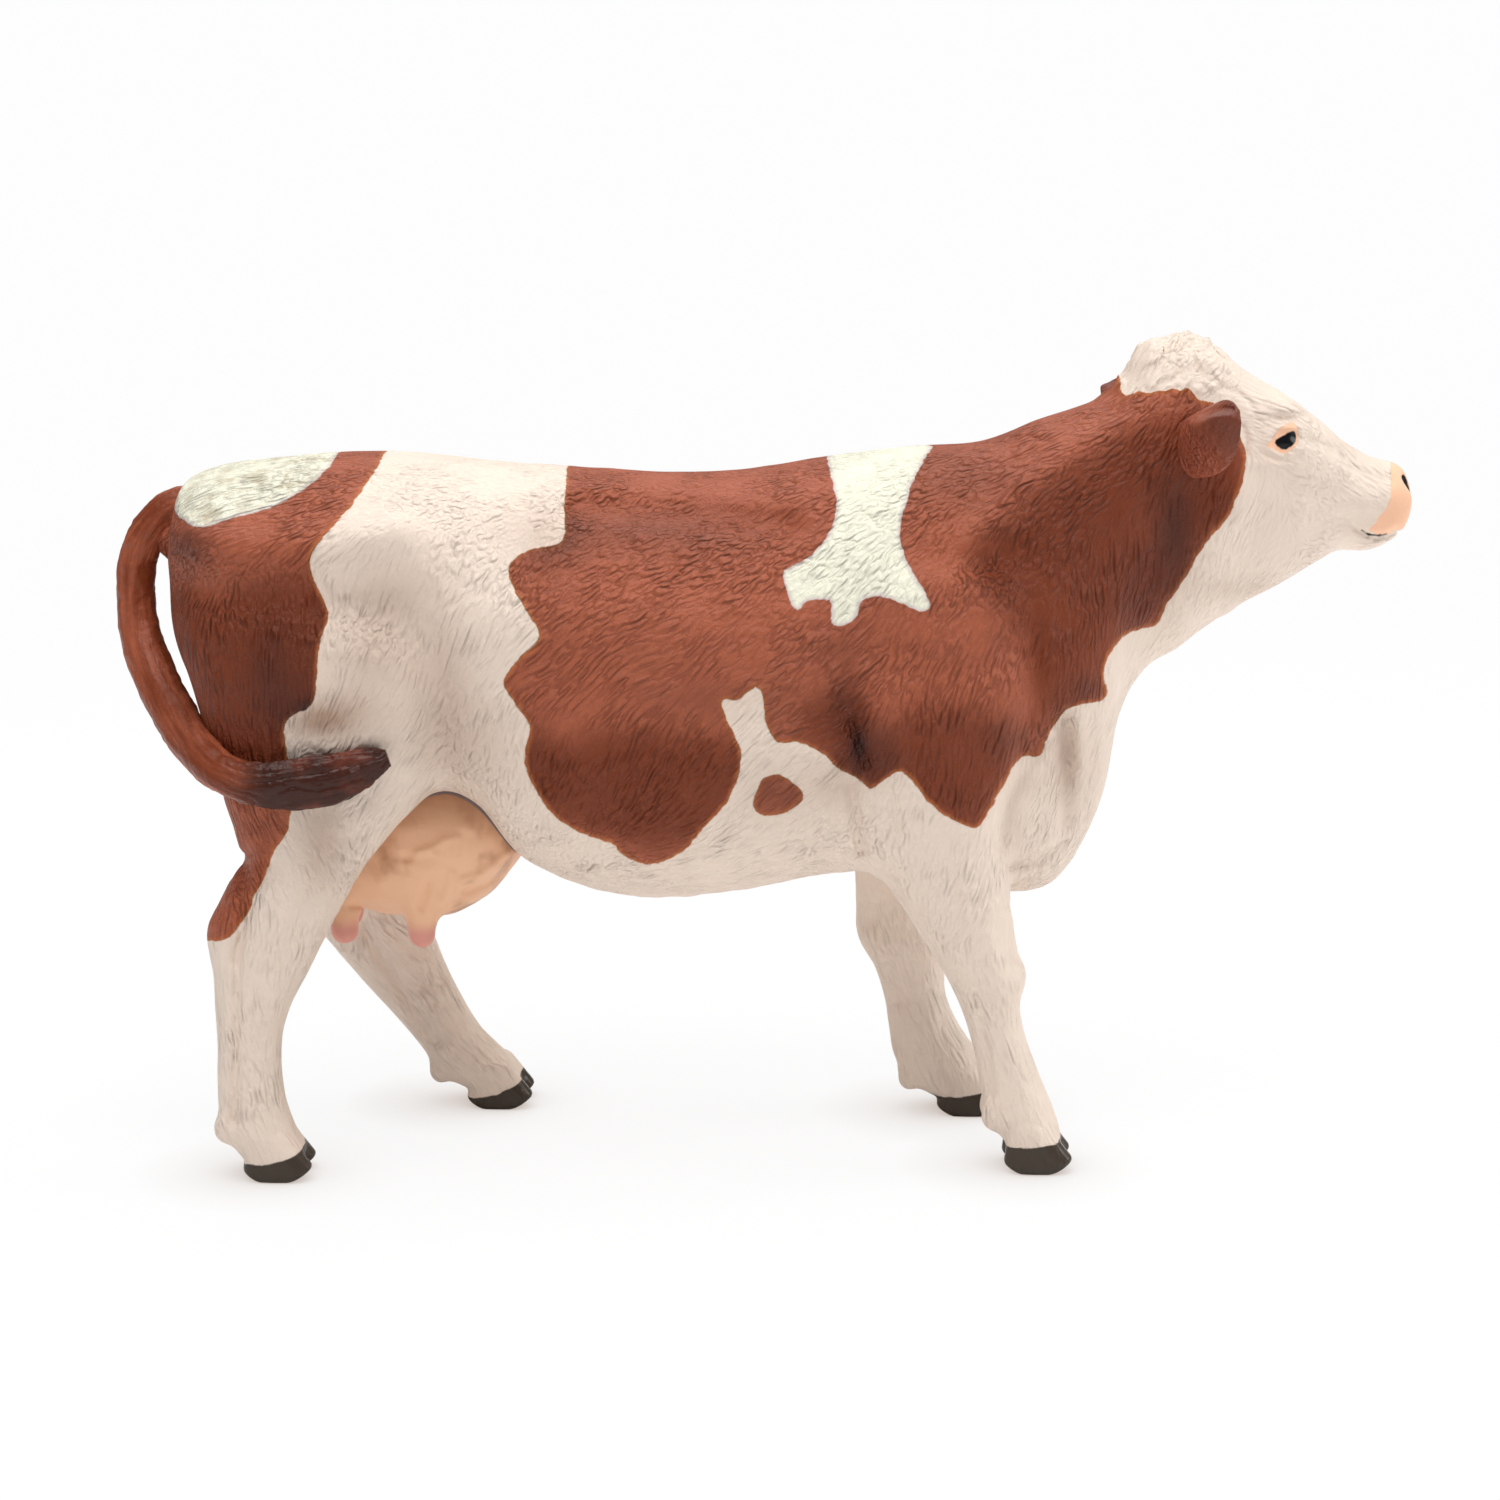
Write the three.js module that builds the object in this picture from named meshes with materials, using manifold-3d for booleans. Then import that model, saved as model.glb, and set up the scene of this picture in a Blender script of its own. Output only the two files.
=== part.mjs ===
// Cow figurine: a walking dairy cow in ten plastic mouldings that plug together and are glued.
// Millimetres. +X is forward, +Y is the cow's left, +Z is up, and the hooves stand on z = 0.
import * as THREE from 'three';
import { mergeVertices } from 'three/addons/utils/BufferGeometryUtils.js';
import ManifoldModule from 'manifold-3d';

const { Manifold, Mesh: ManifoldMesh } = await initManifold();

// Joints between the mouldings: pegs start a little way inside their own moulding
const GLUE_GAP = 0.3;
const PEG_ROOT = 2;
const LEG_SEAM_HEIGHT = 27;
const LEG_PEG_RADIUS = 2.6;
const LEG_PEG_LENGTH = 7;
// How far a leg's peg stands from the middle of the seam towards the middle of the leg at the peg's top
const LEG_PEG_SHIFT = 1 / 3;
const NECK_SEAM = { x: 35.5, height: 66, lean: 18 };
const NECK_PEG_RADIUS = 4.5;
const NECK_PEG_LENGTH = 9;
const EAR_PEG_RADIUS = 1;
const EAR_PEG_LENGTH = 8;
const EAR_PEG_START = 4.6;
const TAIL_PEG_RADIUS = 1.3;
const TAIL_PEG_LENGTH = 8;

// Trunk and neck, from the rump forwards: height of the back and of the belly, half of the width, the height
// where it is widest, the sideways place of its middle, and how full the section is below its widest height.
const TRUNK_STATIONS = [
  { x: -63.8, top: 68.5, bottom: 58.5, halfWidth: 5.5, widest: 64, y: 0, fullness: 2 },
  { x: -62.6, top: 72.8, bottom: 53, halfWidth: 9, widest: 66, y: 0, fullness: 2 },
  { x: -58.5, top: 74.7, bottom: 46, halfWidth: 12.8, widest: 66, y: 0, fullness: 2 },
  { x: -52, top: 75.5, bottom: 42, halfWidth: 15.8, widest: 64, y: 0, fullness: 2.2 },
  { x: -45, top: 76, bottom: 41, halfWidth: 17.2, widest: 62, y: 0, fullness: 2.5 },
  { x: -37, top: 75.7, bottom: 40.5, halfWidth: 17.8, widest: 58, y: 0, fullness: 2.9 },
  { x: -31, top: 75.3, bottom: 38.5, halfWidth: 18.7, widest: 54, y: 0, fullness: 2.8 },
  { x: -26, top: 74.9, bottom: 32.5, halfWidth: 19.6, widest: 51, y: 0, fullness: 2.3 },
  { x: -18, top: 74.4, bottom: 28.7, halfWidth: 20.8, widest: 48, y: 0, fullness: 2 },
  { x: -10, top: 73.9, bottom: 28, halfWidth: 21.4, widest: 47, y: 0, fullness: 2 },
  { x: -2, top: 74.3, bottom: 29, halfWidth: 21.2, widest: 47.5, y: 0, fullness: 2 },
  { x: 8, top: 75.9, bottom: 30.7, halfWidth: 19.6, widest: 49, y: 0, fullness: 2 },
  { x: 16, top: 76.8, bottom: 30.4, halfWidth: 18, widest: 51, y: 0, fullness: 2 },
  { x: 23, top: 77.4, bottom: 28.6, halfWidth: 16.4, widest: 53, y: 0, fullness: 1.9 },
  { x: 29, top: 79.7, bottom: 28.1, halfWidth: 14.3, widest: 56, y: 0, fullness: 1.7 },
  { x: 33, top: 81, bottom: 31, halfWidth: 12.6, widest: 59, y: 0.1, fullness: 1.6 },
  { x: 36.5, top: 82.2, bottom: 38.5, halfWidth: 11.2, widest: 62, y: 0.4, fullness: 1.5 },
  { x: 38.2, top: 82.8, bottom: 47.5, halfWidth: 10.4, widest: 65, y: 0.6, fullness: 1.5 },
  { x: 41, top: 83.5, bottom: 52.6, halfWidth: 9.6, widest: 68, y: 1, fullness: 1.5 },
  { x: 45, top: 83.8, bottom: 55, halfWidth: 8.8, widest: 69, y: 1.8, fullness: 1.5 },
  { x: 49, top: 82, bottom: 59, halfWidth: 7.8, widest: 70, y: 3, fullness: 1.5 },
];

// Head, from behind the poll to the muzzle, along its own axis from the poll
const HEAD_TURN = 17;
const POLL = { x: 42, y: 1 };
const HEAD_STATIONS = [
  { x: -4, top: 84, bottom: 66, halfWidth: 5.5, widest: 75, y: 0, fullness: 2 },
  { x: -1.5, top: 87.4, bottom: 62, halfWidth: 6.6, widest: 77, y: 0, fullness: 1.8 },
  { x: 2, top: 88.7, bottom: 59, halfWidth: 7.2, widest: 77, y: 0, fullness: 1.7 },
  { x: 5, top: 88.2, bottom: 58, halfWidth: 7.6, widest: 77, y: 0, fullness: 1.7 },
  { x: 9, top: 85.8, bottom: 58.9, halfWidth: 7.9, widest: 77, y: 0, fullness: 1.7 },
  { x: 13.5, top: 82.4, bottom: 60.8, halfWidth: 8, widest: 76.5, y: 0, fullness: 1.7 },
  { x: 16, top: 80.7, bottom: 62, halfWidth: 7.2, widest: 75, y: 0, fullness: 1.7 },
  { x: 18.5, top: 78.8, bottom: 63.4, halfWidth: 6.2, widest: 73, y: 0, fullness: 1.8 },
  { x: 21, top: 76.8, bottom: 64.5, halfWidth: 5.5, widest: 71.5, y: 0, fullness: 1.9 },
  { x: 24, top: 75, bottom: 64.3, halfWidth: 5.2, widest: 70.5, y: 0, fullness: 2 },
  { x: 26, top: 74.2, bottom: 64.9, halfWidth: 5.3, widest: 70, y: 0, fullness: 2 },
  { x: 27.6, top: 73.8, bottom: 66, halfWidth: 4.9, widest: 70.6, y: 0, fullness: 2 },
  { x: 28.6, top: 72.8, bottom: 68.6, halfWidth: 3.4, widest: 71, y: 0, fullness: 2 },
];

// Legs, from the top down: the rear and the front edge at a height, the middle's distance from the cow's
// median plane, and half of the width
const RIGHT_FORELEG_STATIONS = [
  { height: 62, rear: 11, front: 24, out: 8, halfWidth: 4 },
  { height: 54, rear: 8.5, front: 26.5, out: 9.5, halfWidth: 7 },
  { height: 45, rear: 8, front: 25.6, out: 10.6, halfWidth: 7.2 },
  { height: 40, rear: 8.6, front: 24.9, out: 11, halfWidth: 6.7 },
  { height: 37, rear: 9.8, front: 24.7, out: 11.2, halfWidth: 6.2 },
  { height: 33, rear: 12.4, front: 25.4, out: 11.3, halfWidth: 5.6 },
  { height: 28.6, rear: 14.8, front: 26.1, out: 11.2, halfWidth: 5.1 },
  { height: 24.5, rear: 17.4, front: 26.9, out: 11.1, halfWidth: 4.6 },
  { height: 21.5, rear: 19.2, front: 27.8, out: 11, halfWidth: 4.4 },
  { height: 18, rear: 20.8, front: 27.2, out: 10.9, halfWidth: 3.8 },
  { height: 14, rear: 22.1, front: 28, out: 10.8, halfWidth: 3.4 },
  { height: 10, rear: 22.9, front: 29.5, out: 10.7, halfWidth: 3.5 },
  { height: 6.5, rear: 23.6, front: 30.9, out: 10.6, halfWidth: 3.9 },
  { height: 4, rear: 25, front: 31.7, out: 10.6, halfWidth: 4 },
  { height: 1.5, rear: 26.6, front: 32, out: 10.6, halfWidth: 3.6 },
];
const LEFT_FORELEG_STATIONS = [
  { height: 62, rear: 11, front: 24, out: 8, halfWidth: 4 },
  { height: 54, rear: 7.5, front: 25.5, out: 9.5, halfWidth: 7 },
  { height: 45, rear: 6.6, front: 24, out: 10.6, halfWidth: 7.2 },
  { height: 40, rear: 6.8, front: 22.6, out: 11, halfWidth: 6.7 },
  { height: 37, rear: 7.3, front: 22, out: 11.2, halfWidth: 6.2 },
  { height: 33, rear: 8.6, front: 21.6, out: 11.3, halfWidth: 5.6 },
  { height: 28, rear: 9.8, front: 21, out: 11.2, halfWidth: 5.1 },
  { height: 23.5, rear: 10.1, front: 20.6, out: 11.1, halfWidth: 4.6 },
  { height: 20, rear: 10.3, front: 20.4, out: 11, halfWidth: 4.4 },
  { height: 16.6, rear: 12.1, front: 20.1, out: 10.9, halfWidth: 3.8 },
  { height: 13.3, rear: 13.2, front: 20.2, out: 10.8, halfWidth: 3.4 },
  { height: 9.8, rear: 13.8, front: 21.6, out: 10.7, halfWidth: 3.5 },
  { height: 6.5, rear: 14.4, front: 23.9, out: 10.6, halfWidth: 3.9 },
  { height: 4, rear: 15.7, front: 25, out: 10.6, halfWidth: 4 },
  { height: 1.5, rear: 18.8, front: 25.6, out: 10.6, halfWidth: 3.6 },
];
const RIGHT_HIND_LEG_STATIONS = [
  { height: 67, rear: -57, front: -44, out: 9, halfWidth: 4 },
  { height: 60, rear: -62.2, front: -39, out: 9.8, halfWidth: 6.6 },
  { height: 52, rear: -61.6, front: -36.5, out: 10.8, halfWidth: 7.2 },
  { height: 45, rear: -59.2, front: -36, out: 11.4, halfWidth: 7 },
  { height: 41, rear: -57.6, front: -37, out: 11.8, halfWidth: 6.6 },
  { height: 38, rear: -56.6, front: -39.4, out: 12, halfWidth: 6.1 },
  { height: 34.5, rear: -56.1, front: -42.3, out: 12.5, halfWidth: 5.5 },
  { height: 30.5, rear: -58, front: -44.8, out: 12.8, halfWidth: 4.9 },
  { height: 27, rear: -59.6, front: -46.6, out: 13, halfWidth: 4.5 },
  { height: 22.5, rear: -59.1, front: -48.9, out: 13.2, halfWidth: 4.1 },
  { height: 18, rear: -58.9, front: -51.2, out: 13.4, halfWidth: 3.7 },
  { height: 14, rear: -58.8, front: -52, out: 13.4, halfWidth: 3.4 },
  { height: 9, rear: -58.9, front: -51.8, out: 13.4, halfWidth: 3.6 },
  { height: 5.5, rear: -58.5, front: -50.8, out: 13.4, halfWidth: 4 },
  { height: 3.5, rear: -57.4, front: -49.8, out: 13.4, halfWidth: 4 },
  { height: 1.5, rear: -56.2, front: -49.4, out: 13.4, halfWidth: 3.6 },
];
const LEFT_HIND_LEG_STATIONS = [
  { height: 67, rear: -56, front: -43, out: 9, halfWidth: 4 },
  { height: 60, rear: -60.5, front: -38, out: 9.8, halfWidth: 6.6 },
  { height: 52, rear: -59.5, front: -34.5, out: 10.8, halfWidth: 7.2 },
  { height: 45, rear: -56, front: -33.5, out: 11.4, halfWidth: 7 },
  { height: 41, rear: -53.8, front: -34.2, out: 11.8, halfWidth: 6.6 },
  { height: 38, rear: -52.4, front: -35.4, out: 12, halfWidth: 6.1 },
  { height: 34, rear: -51.4, front: -37.4, out: 12.5, halfWidth: 5.5 },
  { height: 30, rear: -51.8, front: -38.6, out: 12.8, halfWidth: 4.9 },
  { height: 26, rear: -52.9, front: -39, out: 13, halfWidth: 4.5 },
  { height: 22.5, rear: -51.9, front: -38.5, out: 13.2, halfWidth: 4.1 },
  { height: 18, rear: -48.5, front: -36.9, out: 13.4, halfWidth: 3.7 },
  { height: 13.5, rear: -44.8, front: -35, out: 13.4, halfWidth: 3.4 },
  { height: 9, rear: -40.8, front: -32.6, out: 13.4, halfWidth: 3.6 },
  { height: 5.5, rear: -38.2, front: -29.4, out: 13.4, halfWidth: 4 },
  { height: 3.5, rear: -36.6, front: -28, out: 13.4, halfWidth: 4 },
  { height: 1.5, rear: -33.4, front: -27.4, out: 13.4, halfWidth: 3.6 },
];

// Hooves: two claws with a cleft between them, and two dewclaws behind the fetlock
const CLAW_LENGTH = 8.8;
const CLAW_WIDTH = 3.9;
const CLAW_HEIGHT = 3.4;
const TOE_SLOPE = 52;
const HEEL_SLOPE = 82;
const CLAW_PROFILE = [
  { rise: 0, width: 0.94 },
  { rise: 0.35, width: 1 },
  { rise: 0.75, width: 0.97 },
  { rise: 1, width: 0.84 },
];
const CLEFT_WIDTH = 0.5;
const DEWCLAW = { depth: 2.6, width: 2, height: 3, spacing: 3.8, sink: 0.65 };
const HOOVES = {
  right_foreleg: { toe: 34.2, dewclawHeight: 6 },
  left_foreleg: { toe: 27.8, dewclawHeight: 4.2 },
  right_hind_leg: { toe: -47.5, dewclawHeight: 5.5 },
  left_hind_leg: { toe: -25.1, dewclawHeight: 4.2 },
};

// Udder, from the front to the back, and its teats
const UDDER_STATIONS = [
  { x: -25.8, top: 35, bottom: 33.4, halfWidth: 2.4, widest: 34.2, y: 0, fullness: 2 },
  { x: -27.6, top: 41, bottom: 30.9, halfWidth: 6, widest: 36, y: 0, fullness: 2 },
  { x: -30.6, top: 43.5, bottom: 27.6, halfWidth: 8.7, widest: 36, y: 0, fullness: 2.1 },
  { x: -35, top: 44, bottom: 25.6, halfWidth: 9.4, widest: 35.5, y: 0, fullness: 2.2 },
  { x: -39.5, top: 44, bottom: 25.6, halfWidth: 8.8, widest: 35.5, y: 0, fullness: 2.2 },
  { x: -44, top: 44, bottom: 26.4, halfWidth: 7.2, widest: 36, y: 0, fullness: 2.2 },
  { x: -48.5, top: 44, bottom: 29.2, halfWidth: 6.2, widest: 37, y: 0, fullness: 2.1 },
  { x: -51.5, top: 43, bottom: 34, halfWidth: 4, widest: 39, y: 0, fullness: 2 },
];
const TEAT_RADIUS = 1.45;
const TEAT_LENGTH = 3.8;
const TEAT_ROOT_HEIGHT = 26.9;
const FRONT_TEAT = { x: -37.4, out: 5.4 };
const REAR_TEAT = { x: -45.9, out: 3.6 };

// Tail, from its root in the rump to the tip of the switch
const TAIL_STATIONS = [
  { x: -60.5, y: 0, height: 70.8, radius: 2.1, depth: 2.1 },
  { x: -63.8, y: 0, height: 70.2, radius: 2.1, depth: 2.1 },
  { x: -66.3, y: 0, height: 67.7, radius: 2.1, depth: 2.1 },
  { x: -67.7, y: 0, height: 64.4, radius: 2.1, depth: 2.1 },
  { x: -67.9, y: -0.6, height: 60, radius: 2.1, depth: 2.1 },
  { x: -67.2, y: -2.2, height: 55.6, radius: 2.1, depth: 2.1 },
  { x: -64.9, y: -5.5, height: 51.3, radius: 2.1, depth: 2.1 },
  { x: -62.1, y: -10, height: 48.3, radius: 2.1, depth: 2.1 },
  { x: -59.3, y: -15, height: 46.3, radius: 2.1, depth: 2 },
  { x: -56.3, y: -18.4, height: 45, radius: 2.1, depth: 1.8 },
  { x: -52.8, y: -19.9, height: 44.4, radius: 2.3, depth: 1.6 },
  { x: -48.7, y: -20.3, height: 44.6, radius: 2.7, depth: 1.5 },
  { x: -44.5, y: -20.2, height: 45.3, radius: 2.5, depth: 1.4 },
  { x: -41.2, y: -20, height: 46.7, radius: 1.7, depth: 1.2 },
  { x: -39.5, y: -19.9, height: 47.3, radius: 0.9, depth: 0.8 },
];

// Ears: cupped leaves, from the root to the tip in the head's own directions
const EAR_ROOT = { x: 0.6, out: 4.4, height: 75.4 };
const EAR_TIP = { x: 1.7, out: 17.6, height: 82.4 };
const EAR_FACING = { x: 1, out: -0.6, height: -0.35 };
const EAR_STATIONS = [
  { along: 0, halfWidth: 1.7, thickness: 3, cup: 0.2 },
  { along: 0.22, halfWidth: 2.6, thickness: 2.7, cup: 0.6 },
  { along: 0.42, halfWidth: 3.4, thickness: 2.3, cup: 1 },
  { along: 0.6, halfWidth: 3.6, thickness: 1.8, cup: 1.2 },
  { along: 0.76, halfWidth: 3.2, thickness: 1.4, cup: 1.1 },
  { along: 0.9, halfWidth: 2.2, thickness: 1, cup: 0.7 },
  { along: 1, halfWidth: 0.8, thickness: 0.6, cup: 0.2 },
];

// Fullness of the sections: 2 is an ellipse, and more is squarer
const CROWN_FULLNESS = 2.2;
const LEG_FULLNESS = 2.2;
const CLAW_FULLNESS = 2.4;

// Smoothness of the surfaces
const TRUNK_SIDES = 28;
const LEG_SIDES = 14;
const TAIL_SIDES = 12;
const PEG_SIDES = 20;
const STEPS_PER_STATION = 2;

const RIGHT = -1;
const LEFT = 1;
const REACH = 200;

const coat = new THREE.MeshStandardMaterial({ color: 0x8a4b38, roughness: 0.55 });
const white = new THREE.MeshStandardMaterial({ color: 0xe6dccf, roughness: 0.55 });
const flesh = new THREE.MeshStandardMaterial({ color: 0xcf9c82, roughness: 0.5 });
const hair = new THREE.MeshStandardMaterial({ color: 0x5a2f22, roughness: 0.45 });

async function initManifold() {
  const module = await ManifoldModule();
  module.setup();
  return module;
}

// A manifold solid from a closed geometry, turned outwards if its faces point in
function solid(geometry) {
  const bare = new THREE.BufferGeometry();
  bare.setAttribute('position', geometry.getAttribute('position'));
  bare.setIndex(geometry.getIndex());
  const welded = mergeVertices(bare, 1e-4);
  const vertProperties = new Float32Array(welded.getAttribute('position').array);
  const triVerts = new Uint32Array(welded.getIndex().array);
  const made = new Manifold(new ManifoldMesh({ numProp: 3, vertProperties, triVerts }));
  if (made.volume() > 0) return made;
  for (let i = 0; i < triVerts.length; i += 3) {
    [triVerts[i], triVerts[i + 1]] = [triVerts[i + 1], triVerts[i]];
  }
  return new Manifold(new ManifoldMesh({ numProp: 3, vertProperties, triVerts }));
}

function namedMesh(name, shape, material) {
  const { vertProperties, triVerts } = shape.getMesh();
  const geometry = new THREE.BufferGeometry();
  geometry.setAttribute('position', new THREE.BufferAttribute(vertProperties, 3));
  geometry.setIndex(new THREE.BufferAttribute(triVerts, 1));
  geometry.computeVertexNormals();
  const mesh = new THREE.Mesh(geometry, material);
  mesh.name = name;
  return mesh;
}

// The largest of the separate bodies that a cut leaves
function mainBody(shape) {
  const bodies = shape.decompose();
  bodies.sort((a, b) => b.volume() - a.volume());
  return bodies[0];
}

// Stations joined by a smooth curve through each of their values
function smoothStations(stations) {
  const keys = Object.keys(stations[0]);
  const curves = keys.map((key) => new THREE.CatmullRomCurve3(
    stations.map((station) => new THREE.Vector3(station[key], 0, 0)), false, 'catmullrom'));
  const steps = (stations.length - 1) * STEPS_PER_STATION;
  return Array.from({ length: steps + 1 }, (_, i) => Object.fromEntries(
    keys.map((key, k) => [key, curves[k].getPoint(i / steps).x])));
}

// A closed skin over rings of points, with a cap at each end
function loft(rings) {
  const sides = rings[0].length;
  const points = rings.flat();
  const index = [];
  for (let r = 0; r + 1 < rings.length; r += 1) {
    for (let s = 0; s < sides; s += 1) {
      const next = (s + 1) % sides;
      const [a, b] = [r * sides + s, r * sides + next];
      const [c, d] = [a + sides, b + sides];
      index.push(a, b, d, a, d, c);
    }
  }
  for (const [r, flip] of [[0, true], [rings.length - 1, false]]) {
    const middle = new THREE.Vector3();
    rings[r].forEach((point) => middle.addScaledVector(point, 1 / sides));
    points.push(middle);
    const centre = points.length - 1;
    for (let s = 0; s < sides; s += 1) {
      const [a, b] = [r * sides + s, r * sides + ((s + 1) % sides)];
      index.push(centre, flip ? b : a, flip ? a : b);
    }
  }
  const geometry = new THREE.BufferGeometry().setFromPoints(points);
  geometry.setIndex(index);
  return solid(geometry);
}

function bulge(value, fullness) {
  return Math.sign(value) * Math.abs(value) ** (2 / fullness);
}

function turns(sides) {
  return Array.from({ length: sides }, (_, i) => (2 * Math.PI * i) / sides);
}

// Upright sections along X: the trunk, the head and the udder, grown all round and at both ends if asked
function barrel(stations, grow = 0) {
  const sections = smoothStations(stations);
  const ahead = Math.sign(sections.at(-1).x - sections[0].x);
  sections[0].x -= ahead * grow;
  sections.at(-1).x += ahead * grow;
  return loft(sections.map((at) => turns(TRUNK_SIDES).map((angle) => {
    const [across, up] = [Math.cos(angle), Math.sin(angle)];
    const fullness = up > 0 ? CROWN_FULLNESS : at.fullness;
    const height = up > 0 ? at.top - at.widest : at.widest - at.bottom;
    return new THREE.Vector3(
      at.x,
      at.y + (at.halfWidth + grow) * bulge(across, fullness),
      at.widest + (height + grow) * bulge(up, fullness));
  })));
}

// Level sections down Z: a leg
function column(stations, side, grow = 0) {
  return loft(smoothStations(stations).map((at) => turns(LEG_SIDES).map((angle) => new THREE.Vector3(
    (at.rear + at.front) / 2 + ((at.front - at.rear) / 2 + grow) * bulge(Math.cos(angle), LEG_FULLNESS),
    side * at.out + (at.halfWidth + grow) * bulge(Math.sin(angle), LEG_FULLNESS),
    at.height))));
}

// A leg's section at a height between two of its stations
function sectionAt(stations, height) {
  const below = Math.max(1, stations.findIndex((at) => at.height <= height));
  const [high, low] = [stations[below - 1], stations[below]];
  const share = (high.height - height) / (high.height - low.height);
  const between = (key) => THREE.MathUtils.lerp(high[key], low[key], share);
  return Object.fromEntries(Object.keys(high).map((key) => [key, between(key)]));
}

function centreOf(section) {
  return (section.rear + section.front) / 2;
}

function peg(radius, length, from, direction) {
  const geometry = new THREE.CylinderGeometry(radius, radius, length, PEG_SIDES);
  geometry.translate(0, length / 2, 0);
  const turn = new THREE.Quaternion().setFromUnitVectors(new THREE.Vector3(0, 1, 0), direction);
  geometry.applyQuaternion(turn);
  geometry.translate(from.x, from.y, from.z);
  return solid(geometry);
}

// Everything on the far side of a plane
function halfSpace(point, normal) {
  const geometry = new THREE.BoxGeometry(REACH, REACH, REACH);
  geometry.translate(0, REACH / 2, 0);
  geometry.applyQuaternion(new THREE.Quaternion().setFromUnitVectors(new THREE.Vector3(0, 1, 0), normal));
  geometry.translate(point.x, point.y, point.z);
  return solid(geometry);
}

// One claw of a hoof, with its sole on the ground and its toe and heel drawn in as it rises
function claw(toe, middle) {
  return loft(CLAW_PROFILE.map(({ rise, width }) => {
    const height = CLAW_HEIGHT * rise;
    const front = toe - height / Math.tan(THREE.MathUtils.degToRad(TOE_SLOPE));
    const rear = toe - CLAW_LENGTH + height / Math.tan(THREE.MathUtils.degToRad(HEEL_SLOPE));
    return turns(LEG_SIDES).map((angle) => new THREE.Vector3(
      (front + rear) / 2 + ((front - rear) / 2) * bulge(Math.cos(angle), CLAW_FULLNESS),
      middle + (CLAW_WIDTH / 2) * width * bulge(Math.sin(angle), CLAW_FULLNESS),
      height));
  }));
}

function dewclaw(rear, middle, height) {
  const geometry = new THREE.SphereGeometry(0.5, 10, 8);
  geometry.scale(DEWCLAW.depth, DEWCLAW.width, DEWCLAW.height);
  geometry.translate(rear + DEWCLAW.sink, middle, height);
  return solid(geometry);
}

// One leg: the part below the seam with its hoof, its peg, the part above the seam, and its socket
function makeLeg(stations, side, { toe, dewclawHeight }) {
  const whole = column(stations, side);
  const seam = sectionAt(stations, LEG_SEAM_HEIGHT);
  const pegTop = sectionAt(stations, LEG_SEAM_HEIGHT + LEG_PEG_LENGTH);
  const fetlock = sectionAt(stations, dewclawHeight);
  const middle = side * fetlock.out;
  const clawOffset = (CLAW_WIDTH + CLEFT_WIDTH) / 2;
  const dewclawOffset = DEWCLAW.spacing / 2;
  const up = new THREE.Vector3(0, 0, 1);
  const down = new THREE.Vector3(0, 0, -1);
  const pegFoot = new THREE.Vector3(
    THREE.MathUtils.lerp(centreOf(seam), centreOf(pegTop), LEG_PEG_SHIFT),
    side * seam.out,
    LEG_SEAM_HEIGHT - PEG_ROOT);
  const pegLength = PEG_ROOT + LEG_PEG_LENGTH;
  const lower = Manifold.union([
    whole.intersect(halfSpace(new THREE.Vector3(0, 0, LEG_SEAM_HEIGHT - GLUE_GAP / 2), down)),
    claw(toe, middle - clawOffset),
    claw(toe, middle + clawOffset),
    dewclaw(fetlock.rear, middle - dewclawOffset, dewclawHeight),
    dewclaw(fetlock.rear, middle + dewclawOffset, dewclawHeight),
  ]);
  return {
    lower,
    upper: whole.intersect(halfSpace(new THREE.Vector3(0, 0, LEG_SEAM_HEIGHT + GLUE_GAP / 2), up)),
    peg: peg(LEG_PEG_RADIUS, pegLength, pegFoot, up),
    socket: peg(LEG_PEG_RADIUS + GLUE_GAP, pegLength + GLUE_GAP, pegFoot, up),
    grown: column(stations, side, GLUE_GAP),
  };
}

// Turns a shape that is laid out along the head's own axis to where the head is
function turnHead(shape) {
  return shape.rotate([0, 0, HEAD_TURN]).translate([POLL.x, POLL.y, 0]);
}

function headPoint({ x, out, height }, side) {
  return new THREE.Vector3(x, side * out, height);
}

// One ear in the head's directions, and the peg that holds it
function makeEar(side) {
  const root = headPoint(EAR_ROOT, side);
  const tip = headPoint(EAR_TIP, side);
  const axis = tip.clone().sub(root).normalize();
  const facing = headPoint(EAR_FACING, side);
  facing.addScaledVector(axis, -facing.dot(axis)).normalize();
  const across = new THREE.Vector3().crossVectors(axis, facing);
  const leaf = loft(smoothStations(EAR_STATIONS).map((at) => turns(TAIL_SIDES).map((angle) => {
    const [wide, thick] = [Math.cos(angle), Math.sin(angle)];
    return root.clone().lerp(tip, at.along)
      .addScaledVector(across, at.halfWidth * wide)
      .addScaledVector(facing, (at.thickness / 2) * thick + at.cup * (wide * wide - 0.5));
  })));
  const inwards = axis.clone().negate();
  const start = root.clone().addScaledVector(axis, EAR_PEG_START);
  return {
    leaf: turnHead(leaf),
    peg: turnHead(peg(EAR_PEG_RADIUS, EAR_PEG_LENGTH, start, inwards)),
    socket: turnHead(peg(EAR_PEG_RADIUS + GLUE_GAP, EAR_PEG_LENGTH + GLUE_GAP, start, inwards)),
  };
}

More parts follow.
